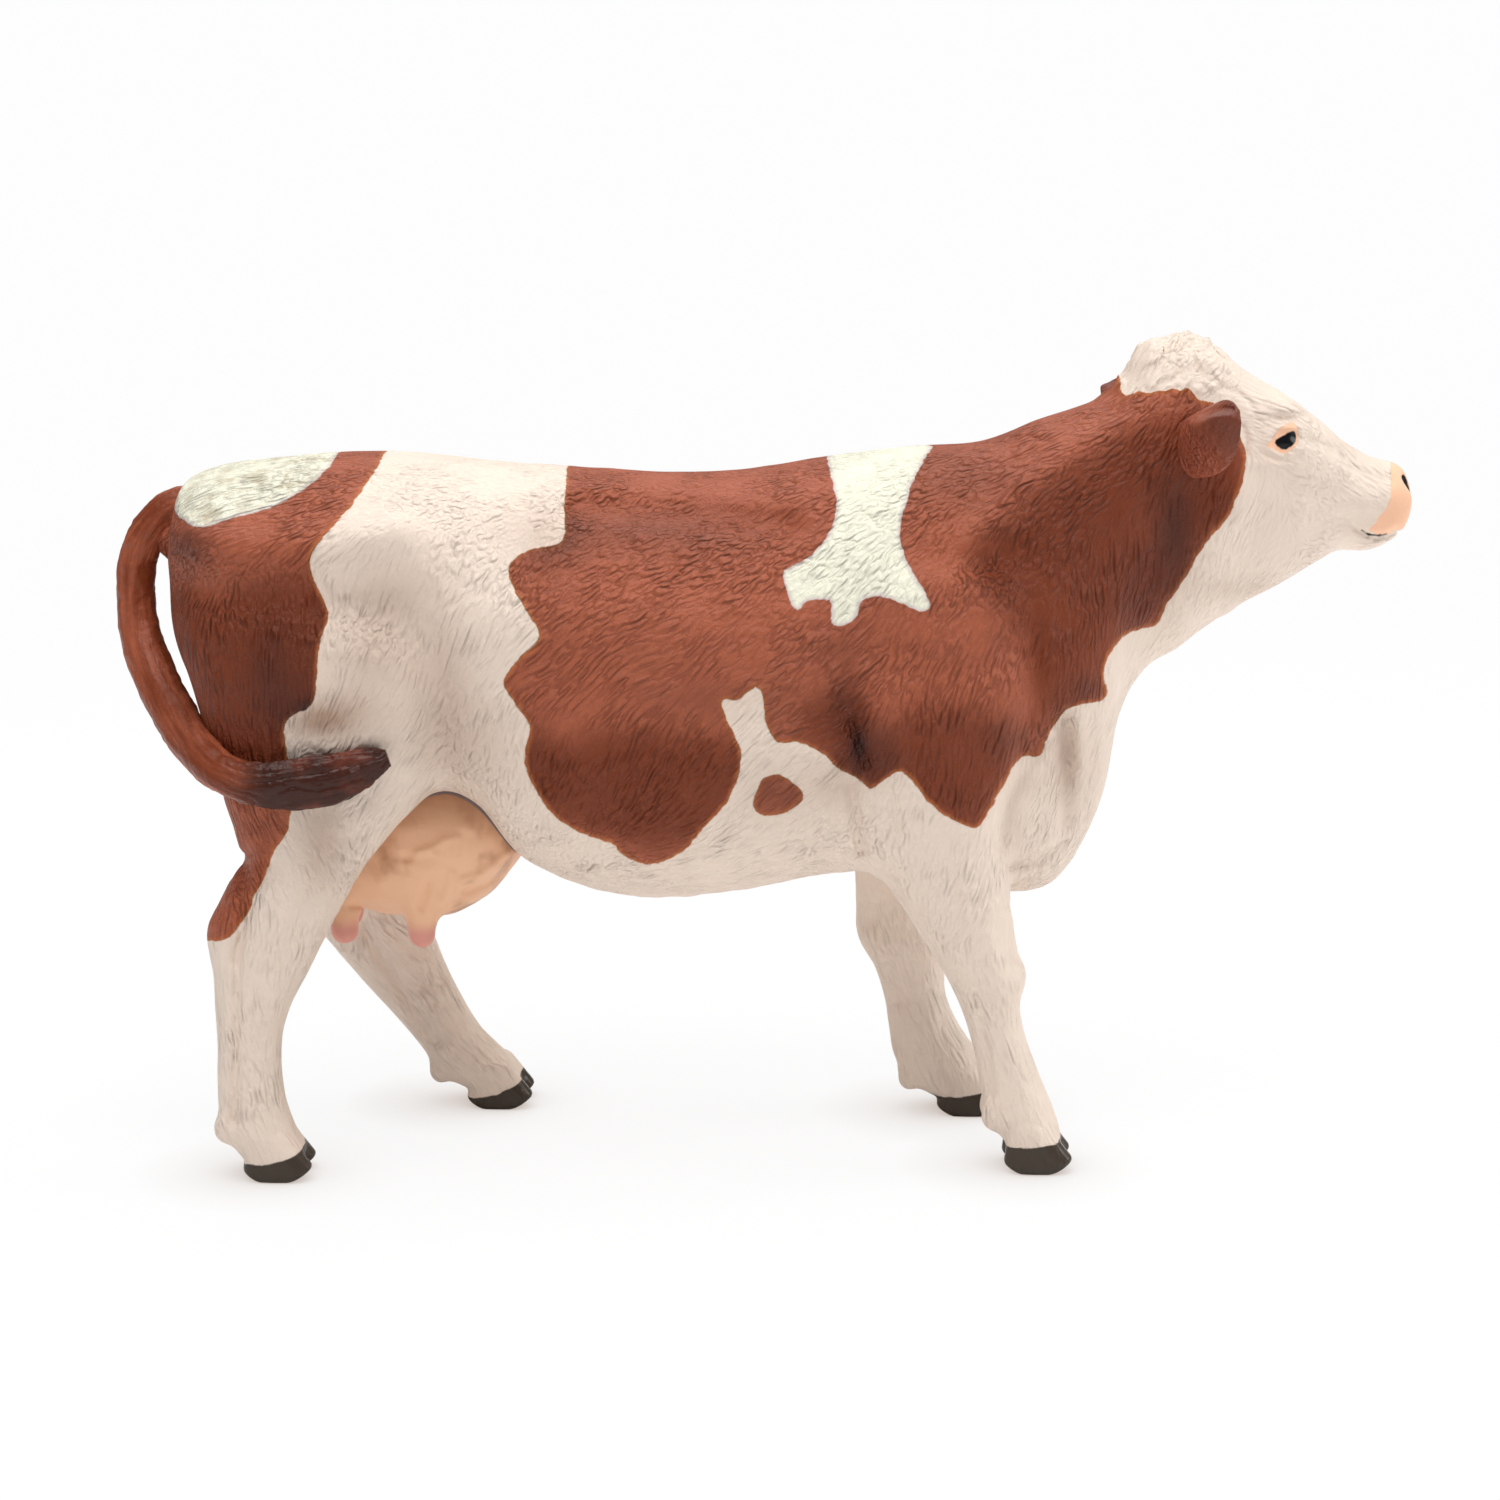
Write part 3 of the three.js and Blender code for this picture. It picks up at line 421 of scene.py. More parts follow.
# Lumps and folds of the face in the side view, in the same columns as those of the body
FACE_BUMPS = (
    (1322, 494, 24, 9, -0.3, 1),
    (1350, 522, 18, 10, -0.35, 1),
    (1366, 500, 24, 13, 0.3, 1),
    (1276, 464, 20, 7, 0.25, 1),
    (1292, 410, 14, 7, 0.3, 1),
    (1250, 500, 26, 30, 0.25, 1),
)
FACE_CREASES = (
    (0.3, 7, ((1300, 438), (1318, 443), (1336, 452), (1352, 462), (1366, 474), (1388, 479))),
    (0.12, 4, ((1222, 388), (1238, 393), (1248, 400), (1252, 408))),
    (0.2, 3, ((1243, 426), (1248, 440), (1246, 453))),
    (0.12, 3, ((1262, 452), (1274, 459), (1288, 461), (1301, 453))),
    (0.15, 2.5, ((1312, 425), (1315, 434))),
    (0.15, 2.5, ((1320, 424), (1324, 436))),
)

# Lumps, veins and folds of the udder in the side view, in the same columns as those of the body
UDDER_BUMPS = (
    (467, 827, 10, 8, 0.5, 1),
    (404, 830, 16, 12, 0.4, 1),
    (407, 858, 8, 5, -0.5, 1),
    (430, 870, 14, 8, 0.4, 1),
    (380, 880, 14, 14, 0.3, 1),
)
UDDER_FOLDS = (
    (-0.6, 5, ((462, 882), (480, 875), (494, 866), (507, 854))),
    (0.5, 5, ((466, 891), (484, 884), (500, 874))),
    (-0.5, 4.5, ((417, 853), (433, 849), (444, 841), (457, 838))),
    (0.4, 4, ((428, 884), (424, 898), (421, 908))),
    (-0.35, 4, ((443, 900), (449, 886), (452, 874))),
    (0.3, 4, ((352, 905), (368, 906), (384, 908))),
)

STATION_STEPS = 8
OUTLINE_STEPS = 3


def curve_through(rows, steps, closed=False):
    """Catmull-Rom curve through a table's rows: in each span a cubic that keeps its neighbours' slope."""
    rows = np.array(rows, float)
    if closed:
        ends = rows[-1:], rows[:2]
    else:
        ends = 2 * rows[:1] - rows[1:2], 2 * rows[-1:] - rows[-2:-1]
    rows = np.vstack((ends[0], rows, ends[1]))
    before, start, end, after = rows[:-3], rows[1:-2], rows[2:-1], rows[3:]
    t = (np.arange(steps) / steps)[:, None, None]
    spans = 0.5 * (
        2 * start
        + (end - before) * t
        + (2 * before - 5 * start + 4 * end - after) * t**2
        + (3 * start - before - 3 * end + after) * t**3
    )
    curve = spans.transpose(1, 0, 2).reshape(-1, rows.shape[1])
    return curve if closed else np.vstack((curve, rows[-2]))


TRUNK = curve_through(TRUNK_STATIONS, STATION_STEPS)
HEAD = curve_through(HEAD_STATIONS, STATION_STEPS)
UDDER = curve_through(UDDER_STATIONS, STATION_STEPS)
LEG_CURVES = {
    name: curve_through(np.hstack((leg["edges"], leg["widths"])), STATION_STEPS) for name, leg in LEGS.items()
}


def ease(low, high, value):
    """0 below low, 1 above high, and a cubic step between."""
    t = np.clip((value - low) / (high - low), 0, 1)
    return t * t * (3 - 2 * t)


def rise(step, value):
    """A step given as its height, start and end: the height times a cubic step from start to end."""
    height, start, end = step
    return height * ease(start, end, value)


def bell(*offsets):
    """Bell curve of offsets that are shares of their reach: e to the minus sum of their squares."""
    return np.exp(-sum(offset**2 for offset in offsets))


def join(a, b, reach):
    """Smooth union of two distances: the lesser, sunk by a parabola where they differ by less than reach."""
    share = np.maximum(reach - np.abs(a - b), 0)
    return np.minimum(a, b) - share * share / (4 * reach)


def cut(a, b, reach):
    """Smooth intersection of two distances."""
    return -join(-a, -b, reach)


def columns(curve, at):
    """The columns of a station curve at places along its first column."""
    return [np.interp(at, curve[:, 0], curve[:, c]) for c in range(1, curve.shape[1])]


OFF_AXIS = 1e-6


def section_distance(across, up, half_width, half_height, fullness):
    """Distance to a superellipse, to first order: g - 1 over the slope of g.

    g is the n-th root of |across / half width|^n + |up / half height|^n, where n is the fullness.
    """
    a = np.abs(across) / half_width + OFF_AXIS
    b = np.abs(up) / half_height + OFF_AXIS
    total = a**fullness + b**fullness
    g = total ** (1 / fullness)
    slope = g / total * np.hypot(a ** (fullness - 1) / half_width, b ** (fullness - 1) / half_height)
    return (g - 1) / slope


def barrel_distance(curve, x, y, z, rounding):
    """Distance to upright sections strung along X, closed at both ends."""
    top, bottom, half_width, widest, middle, fullness = columns(curve, x)
    up = z - widest
    above = up > 0
    inside = section_distance(
        y - middle,
        up,
        half_width,
        np.where(above, top - widest, widest - bottom),
        np.where(above, CROWN_FULLNESS, fullness),
    )
    ends = np.maximum(curve[0, 0] - x, x - curve[-1, 0])
    return cut(inside, ends, rounding)


def column_distance(curve, side, x, y, z):
    """Distance to level sections strung up Z, closed at both ends: a leg."""
    rear, front, out, half_width = columns(curve, z)
    inside = section_distance(
        x - (rear + front) / 2, y - side * out, (front - rear) / 2, half_width, LEG_FULLNESS
    )
    ends = np.maximum(curve[0, 0] - z, z - curve[-1, 0])
    return cut(inside, ends, LEG_ROUNDING)


def hoof_distance(name, x, y, z):
    """Distances to the claws of a hoof and to its dewclaws.

    A claw is an upright superellipse that draws in at toe and heel as it rises, cut off by its top and by
    a sole that lifts towards toe and heel. A dewclaw is an ellipsoid sunk in the rear of the leg.
    """
    leg = LEGS[name]
    rear_edge, _, out, _ = columns(LEG_CURVES[name], np.array([leg["dewclaws"]]))
    front = leg["toe"] - z / math.tan(TOE_SLOPE)
    rear = leg["toe"] - CLAW_LENGTH + z / math.tan(HEEL_SLOPE)
    offset = np.abs(y - leg["side"] * out)
    claw = section_distance(
        x - (front + rear) / 2,
        offset - (CLAW_WIDTH + CLEFT_WIDTH) / 2,
        np.maximum((front - rear) / 2, LEAST_CLAW),
        CLAW_WIDTH / 2 * (1 - rise(CLAW_TAPER, z)),
        CLAW_FULLNESS,
    )
    share = (x - leg["toe"]) / CLAW_LENGTH + 1
    sole = rise(TOE_LIFT, share) + rise(HEEL_LIFT, share)
    claw = cut(claw, np.maximum(sole - z, z - CLAW_TOP), SOLE_ROUNDING)
    away = np.sqrt(
        ((x - rear_edge - DEWCLAW["sink"]) / DEWCLAW["depth"]) ** 2
        + ((offset - DEWCLAW["spacing"] / 2) / DEWCLAW["width"]) ** 2
        + ((z - leg["dewclaws"]) / DEWCLAW["height"]) ** 2
    )
    return claw, (away - 1) * DEWCLAW["width"]


def leg_distance(name, x, y, z):
    """Distance to one leg with its hoof."""
    distance = column_distance(LEG_CURVES[name], LEGS[name]["side"], x, y, z)
    low = z < HOOF_REACH
    if low.any():
        claw, dewclaw = hoof_distance(name, x[low], y[low], z[low])
        distance[low] = join(join(distance[low], claw, CLAW_BLEND), dewclaw, DEWCLAW_BLEND)
    return distance


FORWARD = (TARGET - EYE) / np.linalg.norm(TARGET - EYE)
UPWARD = np.cross((1.0, 0.0, 0.0), FORWARD)
# Median surface from above: it is flat in the trunk, bends in the neck and runs on along the head's axis
NOSE_X = 72.0
NECK_BEND = (
    (33.0, 0.0),
    (36.5, 0.3),
    (38.2, 0.6),
    POLL,
    (NOSE_X, POLL[1] + (NOSE_X - POLL[0]) * math.tan(HEAD_TURN)),
)


def side_view(points, fold):
    """Points seen from the cow's right, in view units, and the millimetres in a unit at their depth.

    Central projection: offsets from the eye across and up, times the focal length, over the depth. With fold,
    the left half is first folded over onto the right about the median surface, which bends with the neck.
    """
    x, y, z = points.T
    if fold:
        middle = np.interp(x, *np.array(NECK_BEND).T)
        y = middle - np.abs(y - middle)
    away = np.stack((x - EYE[0], y - EYE[1], z - EYE[2]), 1)
    unit = away @ FORWARD / FOCAL_UNITS
    return VIEW_UNITS / 2 + away[:, 0] / unit, VIEW_UNITS / 2 - away @ UPWARD / unit, unit


def line_distance(u, v, line):
    """Distance from places in the side view to a line of straight pieces."""
    nearest = np.full(u.shape, np.inf)
    for (u0, v0), (u1, v1) in zip(line[:-1], line[1:]):
        du, dv = u1 - u0, v1 - v0
        share = np.clip(((u - u0) * du + (v - v0) * dv) / (du * du + dv * dv), 0, 1)
        nearest = np.minimum(nearest, (u - u0 - share * du) ** 2 + (v - v0 - share * dv) ** 2)
    return np.sqrt(nearest)


def patch_depth(u, v, outline):
    """How far places in the side view are inside a closed outline, and less than 0 outside it.

    A place is inside where a level line from it crosses the outline an odd number of times.
    """
    curve = curve_through(outline, OUTLINE_STEPS, closed=True)
    loop = np.vstack((curve, curve[:1]))
    within = np.zeros(u.shape, bool)
    for (u0, v0), (u1, v1) in zip(loop[:-1], loop[1:]):
        crosses = (v0 > v) != (v1 > v)
        if v1 != v0:
            within ^= crosses & (u < (u1 - u0) * (v - v0) / (v1 - v0) + u0)
    return np.where(within, 1, -1) * line_distance(u, v, loop)


# Large odd numbers that scatter the corners of a lattice, and the seed
CORNER_PRIMES = np.array((73856093, 19349663, 83492791))
SEED_PRIME = 7919
SCATTER_PRIME = 1274126177


def grain(points, height, size, seed):
    """Smooth random heights, up to height either way: hashed values at a lattice's corners, eased between."""
    scaled = points / size
    cell = np.floor(scaled)
    t = scaled - cell
    t = t * t * (3 - 2 * t)
    cell = cell.astype(np.int64)
    total = np.zeros(len(points))
    for corner in product((0, 1), repeat=3):
        key = (cell + corner) @ CORNER_PRIMES + seed * SEED_PRIME
        key = (key ^ (key >> 13)) * SCATTER_PRIME
        value = ((key ^ (key >> 16)) & 0xFFFF) / 0x8000 - 1
        total += value * np.prod(np.where(corner, t, 1 - t), axis=1)
    return height * total


def head_places(x, y):
    """Places along and across the head's own axis."""
    ahead, aside = x - POLL[0], y - POLL[1]
    cosine, sine = math.cos(HEAD_TURN), math.sin(HEAD_TURN)
    return ahead * cosine + aside * sine, aside * cosine - ahead * sine


def view_relief(u, v, bumps, creases):
    """Sum of the bumps and creases of two tables at places in the side view: bell curves of the distance."""
    height = np.zeros(u.shape)
    for u0, v0, reach_u, reach_v, amount, fullness in bumps:
        spread = ((u - u0) / reach_u) ** 2 + ((v - v0) / reach_v) ** 2
        height += amount * np.exp(-(spread**fullness))
    for depth, reach, line in creases:
        height -= depth * bell(line_distance(u, v, line) / reach)
    return height


# Distances from the median plane, and heights, between which the muscles come in
SIDE_FADE = (2, 7)
BELLY_FADE = (27, 30)
LEG_CREASE_TOP = 40


def side_relief(points):
    """Height of the muscles over the plain sections, laid out in the side view."""
    _, y, z = points.T
    u, v, _ = side_view(points, True)
    height = view_relief(u, v, SIDE_BUMPS, SIDE_CREASES)
    height *= ease(*SIDE_FADE, np.abs(y)) * ease(*BELLY_FADE, z)
    low = z < LEG_CREASE_TOP
    if low.any():
        u, v, _ = side_view(points[low], False)
        right = y[low] < 0
        height[low] += right * view_relief(u, v, (), RIGHT_LEG_CREASES)
        height[low] += ~right * view_relief(u, v, (), LEFT_LEG_CREASES)
    return height


# Face, in the head's own directions: places along it and up
FACE_START = -6
FACE_SIDE = (3, 5)
EYE_PLACE = (11.3, 78.0)
EYE_REACH = (1.75, 1.25)
# Lids and ball of the eye: height, distance from its middle and reach, as shares of the eye
EYE_RINGS = ((0.22, 1.2, 0.3), (0.3, 0, 0.7))
# Upper lid, fold over it and brow: place along and up, reach along and up, height
BROW_BELLS = ((11.6, 79.5, 1.6, 0.5, 0.3), (11.0, 80.4, 2.6, 0.5, -0.12), (11.5, 82.0, 3, 1.4, 0.5))
# Nostril: along, aside, height
NOSTRIL_PLACE = (27.6, 3.6, 72.0)
NOSTRIL_REACH = (0.8, 1.0, 1.3)
NOSTRIL_DEPTH = 0.8
FACE_GAIN = 1.5
MOUTH_CREASE = (0.5, 4, MOUTH)
# Crown of the head in the side view, which the strands of the forelock fan out from
CROWN = (1190, 296)
FORELOCK_EDGE = (-2, 5)
FORELOCK_BUMP = (1143, 350, 16, 18, 0.6, 1)
# Noise has height, size and seed. The strands' own places are turns of the fan, view units and millimetres
FAN_WAVER = (0.12, 2.2, 5)
STRAND_SCALES = (11, 1 / 24, 1 / 2.5)
STRAND_GRAINS = ((0.38, 1.0, 3), (0.16, 0.5, 4))
STRAND_RISE = 0.05


def from_nostril(along, aside, z):
    """Distance from the nearer nostril, as a share of its reach."""
    offset = np.stack((along, np.abs(aside), z)) - np.array(NOSTRIL_PLACE)[:, None]
    return np.linalg.norm(offset / np.array(NOSTRIL_REACH)[:, None], axis=0)


def forelock_relief(points, u, v, aside):
    """Height of the forelock: noise in polar places about the crown, narrow round it and long away."""
    tuft = ease(*FORELOCK_EDGE, patch_depth(u, v, FORELOCK))
    fan = np.arctan2(u - CROWN[0], v - CROWN[1]) + grain(points, *FAN_WAVER)
    strands = np.stack((fan, np.hypot(u - CROWN[0], v - CROWN[1]), aside), 1) * STRAND_SCALES
    height = view_relief(u, v, (FORELOCK_BUMP,), ()) + STRAND_RISE
    return tuft * (height + sum(grain(strands, *row) for row in STRAND_GRAINS))


def face_relief(points):
    """Height of the lids, brow, nostrils, lips and forelock over the plain head, as bell curves."""
    height = np.zeros(len(points))
    along, aside = head_places(*points.T[:2])
    face = along > FACE_START
    if not face.any():
        return height
    along, aside, points = along[face], np.abs(aside[face]), points[face]
    z = points[:, 2]
    side = ease(*FACE_SIDE, aside)
    eye = np.hypot((along - EYE_PLACE[0]) / EYE_REACH[0], (z - EYE_PLACE[1]) / EYE_REACH[1])
    relief = -NOSTRIL_DEPTH * bell(from_nostril(along, aside, z))
    for amount, place, reach in EYE_RINGS:
        relief += amount * side * bell((eye - place) / reach)
    for place, up, reach, reach_up, amount in BROW_BELLS:
        relief += amount * side * bell((along - place) / reach, (z - up) / reach_up)
    u, v, _ = side_view(points, True)
    relief += FACE_GAIN * side * view_relief(u, v, FACE_BUMPS, FACE_CREASES)
    relief += view_relief(u, v, (), (MOUTH_CREASE,))
    height[face] = relief + forelock_relief(points, u, v, aside)
    return height


TRUNK_ROUNDING = 2.0
HEAD_ROUNDING = 1.5
HEAD_BLEND = 3.5
# Blend of a thigh or upper arm into the trunk: reach, and the heights between which it grows
THIGH_BLEND = (5.0, 20, 30)
LEAST_BLEND = 0.3
# Swelling of the rump that the tail's root comes out of
TAIL_ROOT = (-63.6, 0.0, 67.0)
TAIL_ROOT_RADIUS = 2.2
TAIL_ROOT_BLEND = 1.5
# Uneven skin, and rougher hair along the belly: height, size and seed of the noise
COAT_GRAIN = (0.06, 2.4, 1)
HOOF_FADE = (1, 4)
BELLY_GRAIN = (0.12, 1.0, 7)
BELLY_STRETCH = (0.6, 1, 1)
BELLY_FLOOR = (26, 28)
BELLY_CEILING = (35, 31)


def body_field(points):
    """Signed distance to the whole cow but for ears, udder and tail: less than 0 inside."""
    x, y, z = points.T
    field = barrel_distance(TRUNK, x, y, z, TRUNK_ROUNDING)
    for name in LEGS:
        field = join(field, leg_distance(name, x, y, z), rise(THIGH_BLEND, z) + LEAST_BLEND)
    along, aside = head_places(x, y)
    field = join(field, barrel_distance(HEAD, along, aside, z, HEAD_ROUNDING), HEAD_BLEND)
    swelling = np.linalg.norm(points - TAIL_ROOT, axis=1) - TAIL_ROOT_RADIUS
    field = join(field, swelling, TAIL_ROOT_BLEND)
    field = field - side_relief(points) - face_relief(points)
    field += ease(*HOOF_FADE, z) * grain(points, *COAT_GRAIN)
    belly = ease(*BELLY_CEILING, z) * ease(*BELLY_FLOOR, z)
    return field + belly * grain(points * BELLY_STRETCH, *BELLY_GRAIN)


UDDER_ROUNDING = 1.0
UDDER_FADE = (1, 4)
UDDER_GRAINS = ((0.12, 2.6, 11), (0.05, 1.1, 12))


def udder_field(points):
    """Signed distance to the udder with its four teats, its veins and lumps raised as bell curves.

    A teat is a rod with round ends: the distance to an upright line, less the radius.
    """
    x, y, z = points.T
    field = barrel_distance(UDDER, x, y, z, UDDER_ROUNDING)
    aside = np.abs(y)
    height = np.clip(z, TEAT_TIP_HEIGHT + TEAT_RADIUS, TEAT_ROOT_HEIGHT)
    for place, out in TEATS:
        teat = np.sqrt((x - place) ** 2 + (aside - out) ** 2 + (z - height) ** 2) - TEAT_RADIUS
        field = join(field, teat, TEAT_BLEND)
    u, v, _ = side_view(points, True)
    field = field - ease(*UDDER_FADE, aside) * view_relief(u, v, UDDER_BUMPS, UDDER_FOLDS)
    return field - sum(grain(points, *row) for row in UDDER_GRAINS)


COARSE = 4
NEAR_SURFACE = 2.4


def sample(field, low, high, step):
    """A field on a grid: first on every fourth point, then on each point that the surface may be near."""
    counts = np.ceil((np.array(high) - low) / (step * COARSE)).astype(int) * COARSE + 1
    axes = [low[i] + step * np.arange(counts[i]) for i in range(3)]
    rough_axes = [axis[::COARSE] for axis in axes]
    rough = field(np.stack(np.meshgrid(*rough_axes, indexing="ij"), -1).reshape(-1, 3))
    rough = rough.reshape([len(axis) for axis in rough_axes])
    values = rough[np.ix_(*[np.rint(np.arange(count) / COARSE).astype(int) for count in counts])]
    near = np.nonzero(np.abs(values) < step * COARSE * NEAR_SURFACE)
    values[near] = field(np.stack([axes[i][near[i]] for i in range(3)], 1))
    return values


def cell_corners(values):
    """One corner for each grid cell that the surface crosses: the mean of the crossings on its twelve edges.

    Returns the corners in grid steps, and the number of each cell's corner, or -1.
    """
    inside = values < 0
    cells = tuple(count - 1 for count in values.shape)
    offsets = np.array(list(product((0, 1), repeat=3)))
    filled = sum(
        inside[a : a + cells[0], b : b + cells[1], c : c + cells[2]].astype(np.int8) for a, b, c in offsets
    )
    crossed_cells = np.nonzero((filled > 0) & (filled < len(offsets)))
    numbers = np.full(cells, -1)
    numbers[crossed_cells] = np.arange(len(crossed_cells[0]))
    base = np.stack(crossed_cells, 1)
    total = np.zeros((len(base), 3))
    crossings = np.zeros((len(base), 1))
    for start, end in product(offsets, repeat=2):
        if (end - start).min() < 0 or (end - start).sum() != 1:
            continue
        a = values[tuple((base + start).T)]
        b = values[tuple((base + end).T)]
        crossed = ((a < 0) != (b < 0))[:, None]
        share = np.where(crossed[:, 0], a / np.where(a == b, 1, a - b), 0)[:, None]
        total += crossed * (start + share * (end - start))
        crossings += crossed
    return base + total / crossings, numbers


# The four cells round a grid edge, in turn, as steps back along the two other axes
CELLS_ROUND_EDGE = ((1, 1), (0, 1), (0, 0), (1, 0))


def edge_quads(inside, numbers, axis):
    """One quad for each grid edge along an axis that the surface crosses, between the four cells round it."""
    one, two = (axis + 1) % 3, (axis + 2) % 3
    inner = [slice(1, -1)] * 3
    inner[axis] = slice(0, -1)
    outer = list(inner)
    outer[axis] = slice(1, None)
    here, there = inside[tuple(inner)], inside[tuple(outer)]
    edges = np.stack(np.nonzero(here != there), 1)
    leaving = here[tuple(edges.T)]
    edges[:, [one, two]] += 1
    ring = []
    for back_one, back_two in CELLS_ROUND_EDGE:
        cell = edges.copy()
        cell[:, one] -= back_one
        cell[:, two] -= back_two
        ring.append(numbers[tuple(cell.T)])
    ring = np.stack(ring, 1)
    return np.where(leaving[:, None], ring, ring[:, ::-1])


SLOPE_STEP = 0.04
LEAST_SLOPE = 1e-3
LEAST_MOVE = 1e-9
SETTLE_ROUNDS = 3


def slopes(field, points):
    """Slope of a field at points, by central differences."""
    parts = [field(points + SLOPE_STEP * axis) - field(points - SLOPE_STEP * axis) for axis in np.eye(3)]
    return np.stack(parts, 1) / (2 * SLOPE_STEP)


def surface_net(field, low, high, step):
    """Points and quads of the zero surface of a field, as a net over a grid.

    The corners then move onto the surface by Newton's steps down the slope, none longer than a grid step.
    """
    values = sample(field, low, high, step)
    corners, numbers = cell_corners(values)
    points = np.array(low) + step * corners
    quads = np.vstack([edge_quads(values < 0, numbers, axis) for axis in range(3)])
    for _ in range(SETTLE_ROUNDS):
        slope = slopes(field, points)
        move = slope * (field(points) / np.maximum((slope * slope).sum(1), LEAST_SLOPE))[:, None]
        length = np.linalg.norm(move, axis=1, keepdims=True)
        points = points - move * np.minimum(1, step / np.maximum(length, LEAST_MOVE))
    return points, quads


ON_PLANE = 1e-4


def trimmed(points, quads, planes):
    """The mesh of a net inside planes (point, outward normal), with a flat cap on each cut."""
    mesh = bpy.data.meshes.new("net")
    mesh.from_pydata(points, [], quads.tolist())
    work = bmesh.new()
    work.from_mesh(mesh)
    for place, normal in planes:
        geometry = work.verts[:] + work.edges[:] + work.faces[:]
        made = bmesh.ops.bisect_plane(
            work, geom=geometry, dist=ON_PLANE, plane_co=place, plane_no=normal, clear_outer=True
        )
        rim = [e for e in made["geom_cut"] if isinstance(e, bmesh.types.BMEdge) and e.is_boundary]
        bmesh.ops.holes_fill(work, edges=rim, sides=0)
    loose = [v for v in work.verts if not v.link_faces]
    bmesh.ops.delete(work, geom=loose, context="VERTS")
    work.to_mesh(mesh)
    work.free()
    return mesh


def mesh_points(mesh):
    """The places of a mesh's corners as an array."""
    flat = np.empty(3 * len(mesh.vertices), np.float32)
    mesh.vertices.foreach_get("co", flat)
    return flat.reshape(-1, 3).astype(float)


def store(mesh, name, values):
    """Puts one number or vector on each corner of a mesh."""
    kind, field = ("FLOAT_VECTOR", "vector") if values.ndim == 2 else ("FLOAT", "value")
    mesh.attributes.new(name, kind, "POINT").data.foreach_set(field, values.astype(np.float32).ravel())


def finish_mesh(mesh, points, name):
    """Sets a mesh to metres, shades it smooth, and links it as an object at the origin."""
    mesh.vertices.foreach_set("co", (points * METRES).astype(np.float32).ravel())
    mesh.shade_smooth()
    mesh.update()
    mesh.name = name
    piece = bpy.data.objects.new(name, mesh)
    bpy.context.scene.collection.objects.link(piece)
    return piece


LIE_BLUR = 20
LIE_WAVER = (0.35, 4.0, 21)


def hair_lie(points):
    """Lie of the hair in the side view, as the cosine and sine of twice its angle.

    It is a mean of the table's directions weighted by one over the fourth power of the distance. Angles are
    doubled in the mean, as a hair that points up lies the same way as one that points down.
    """
    u, v, _ = side_view(points, True)
    cosine, sine = np.zeros(len(u)), np.zeros(len(u))
    for u0, v0, degrees in HAIR_FLOW:
        weight = 1 / ((u - u0) ** 2 + (v - v0) ** 2 + LIE_BLUR**2) ** 2
        cosine += weight * math.cos(2 * math.radians(degrees))
        sine += weight * math.sin(2 * math.radians(degrees))
    doubled = np.arctan2(sine, cosine) + grain(points, *LIE_WAVER)
    return np.stack((np.cos(doubled), np.sin(doubled), np.zeros(len(u))), 1)


# The far side's patches are the near side's, moved in the side view by waves: amount and length
FAR_SIDE = (3, 12)
FAR_SWAY = (26, 47)
FAR_STRETCH = (18, 61)
FAR_HEAVE = (30, 53)
FAR_LIFT = 14
FAR_BROWN_FLOOR = 40
FAR_WASH_AND_SHADE_LOSS = 0.6
CRUST_EDGE = 8


def wave(row, at):
    """A sine wave given as its amount and length."""
    amount, length = row
    return amount * np.sin(at / length)


def deepest(u, v, outlines):
    """How far places in the side view are inside the nearest of some outlines."""
    return np.max([patch_depth(u, v, outline) for outline in outlines], axis=0)


def paint_coat(mesh, points):
    """Stores a coat's paint: millimetres inside each colour's patches, deeper brown with painted shade, wash
    with painted shade and shadow, and hair's lie.
    """
    _, y, z = points.T
    u, v, unit = side_view(points, True)
    far = ease(*FAR_SIDE, y)
    u_moved = u + far * (wave(FAR_SWAY, v) + wave(FAR_STRETCH, u))
    v_moved = v + far * (wave(FAR_HEAVE, u) - FAR_LIFT)
    brown = deepest(u_moved, v_moved, (BARREL_PATCH, RUMP_PATCH, BELLY_SPOT)) * unit
    crust = patch_depth(u_moved, v_moved, TAIL_HEAD_PATCH)
    cream = np.maximum(patch_depth(u_moved, v_moved, SADDLE_PATCH), crust)
    # Dark wash and painted shade in the hollows, with the tail's painted shadow, weaker on the far side
    wash = np.zeros(len(u))
    for u0, v0, reach_u, reach_v, amount in WASHES_AND_SHADE:
        wash += amount * bell((u - u0) / reach_u, (v - v0) / reach_v)
    # Deeper brown, partly painted shade on the neck, thigh, belly and arm
    store(mesh, "deep", ease(-DEEP_EDGE, DEEP_EDGE, deepest(u, v, DEEP_BROWN_AND_SHADE)))
    store(mesh, "brown", np.where(y > 0, np.minimum(brown, z - FAR_BROWN_FLOOR), brown))
    store(mesh, "cream", cream * unit)
    store(mesh, "crust", ease(-CRUST_EDGE, CRUST_EDGE, crust))
    store(mesh, "wash", wash * (1 - FAR_WASH_AND_SHADE_LOSS * far))
    store(mesh, "lie", hair_lie(points))


def coat_piece(name, low, high, step, planes):
    """One moulding of the body: the net of the whole cow inside a box, cut off at its seams and painted."""
    mesh = trimmed(*surface_net(body_field, low, high, step), planes)
    points = mesh_points(mesh)
    slope = slopes(body_field, points)
    normals = slope / np.linalg.norm(slope, axis=1, keepdims=True)
    paint_coat(mesh, points)
    piece = finish_mesh(mesh, points, name)
    mesh.normals_split_custom_set_from_vertices(normals.tolist())
    return piece, mesh, points


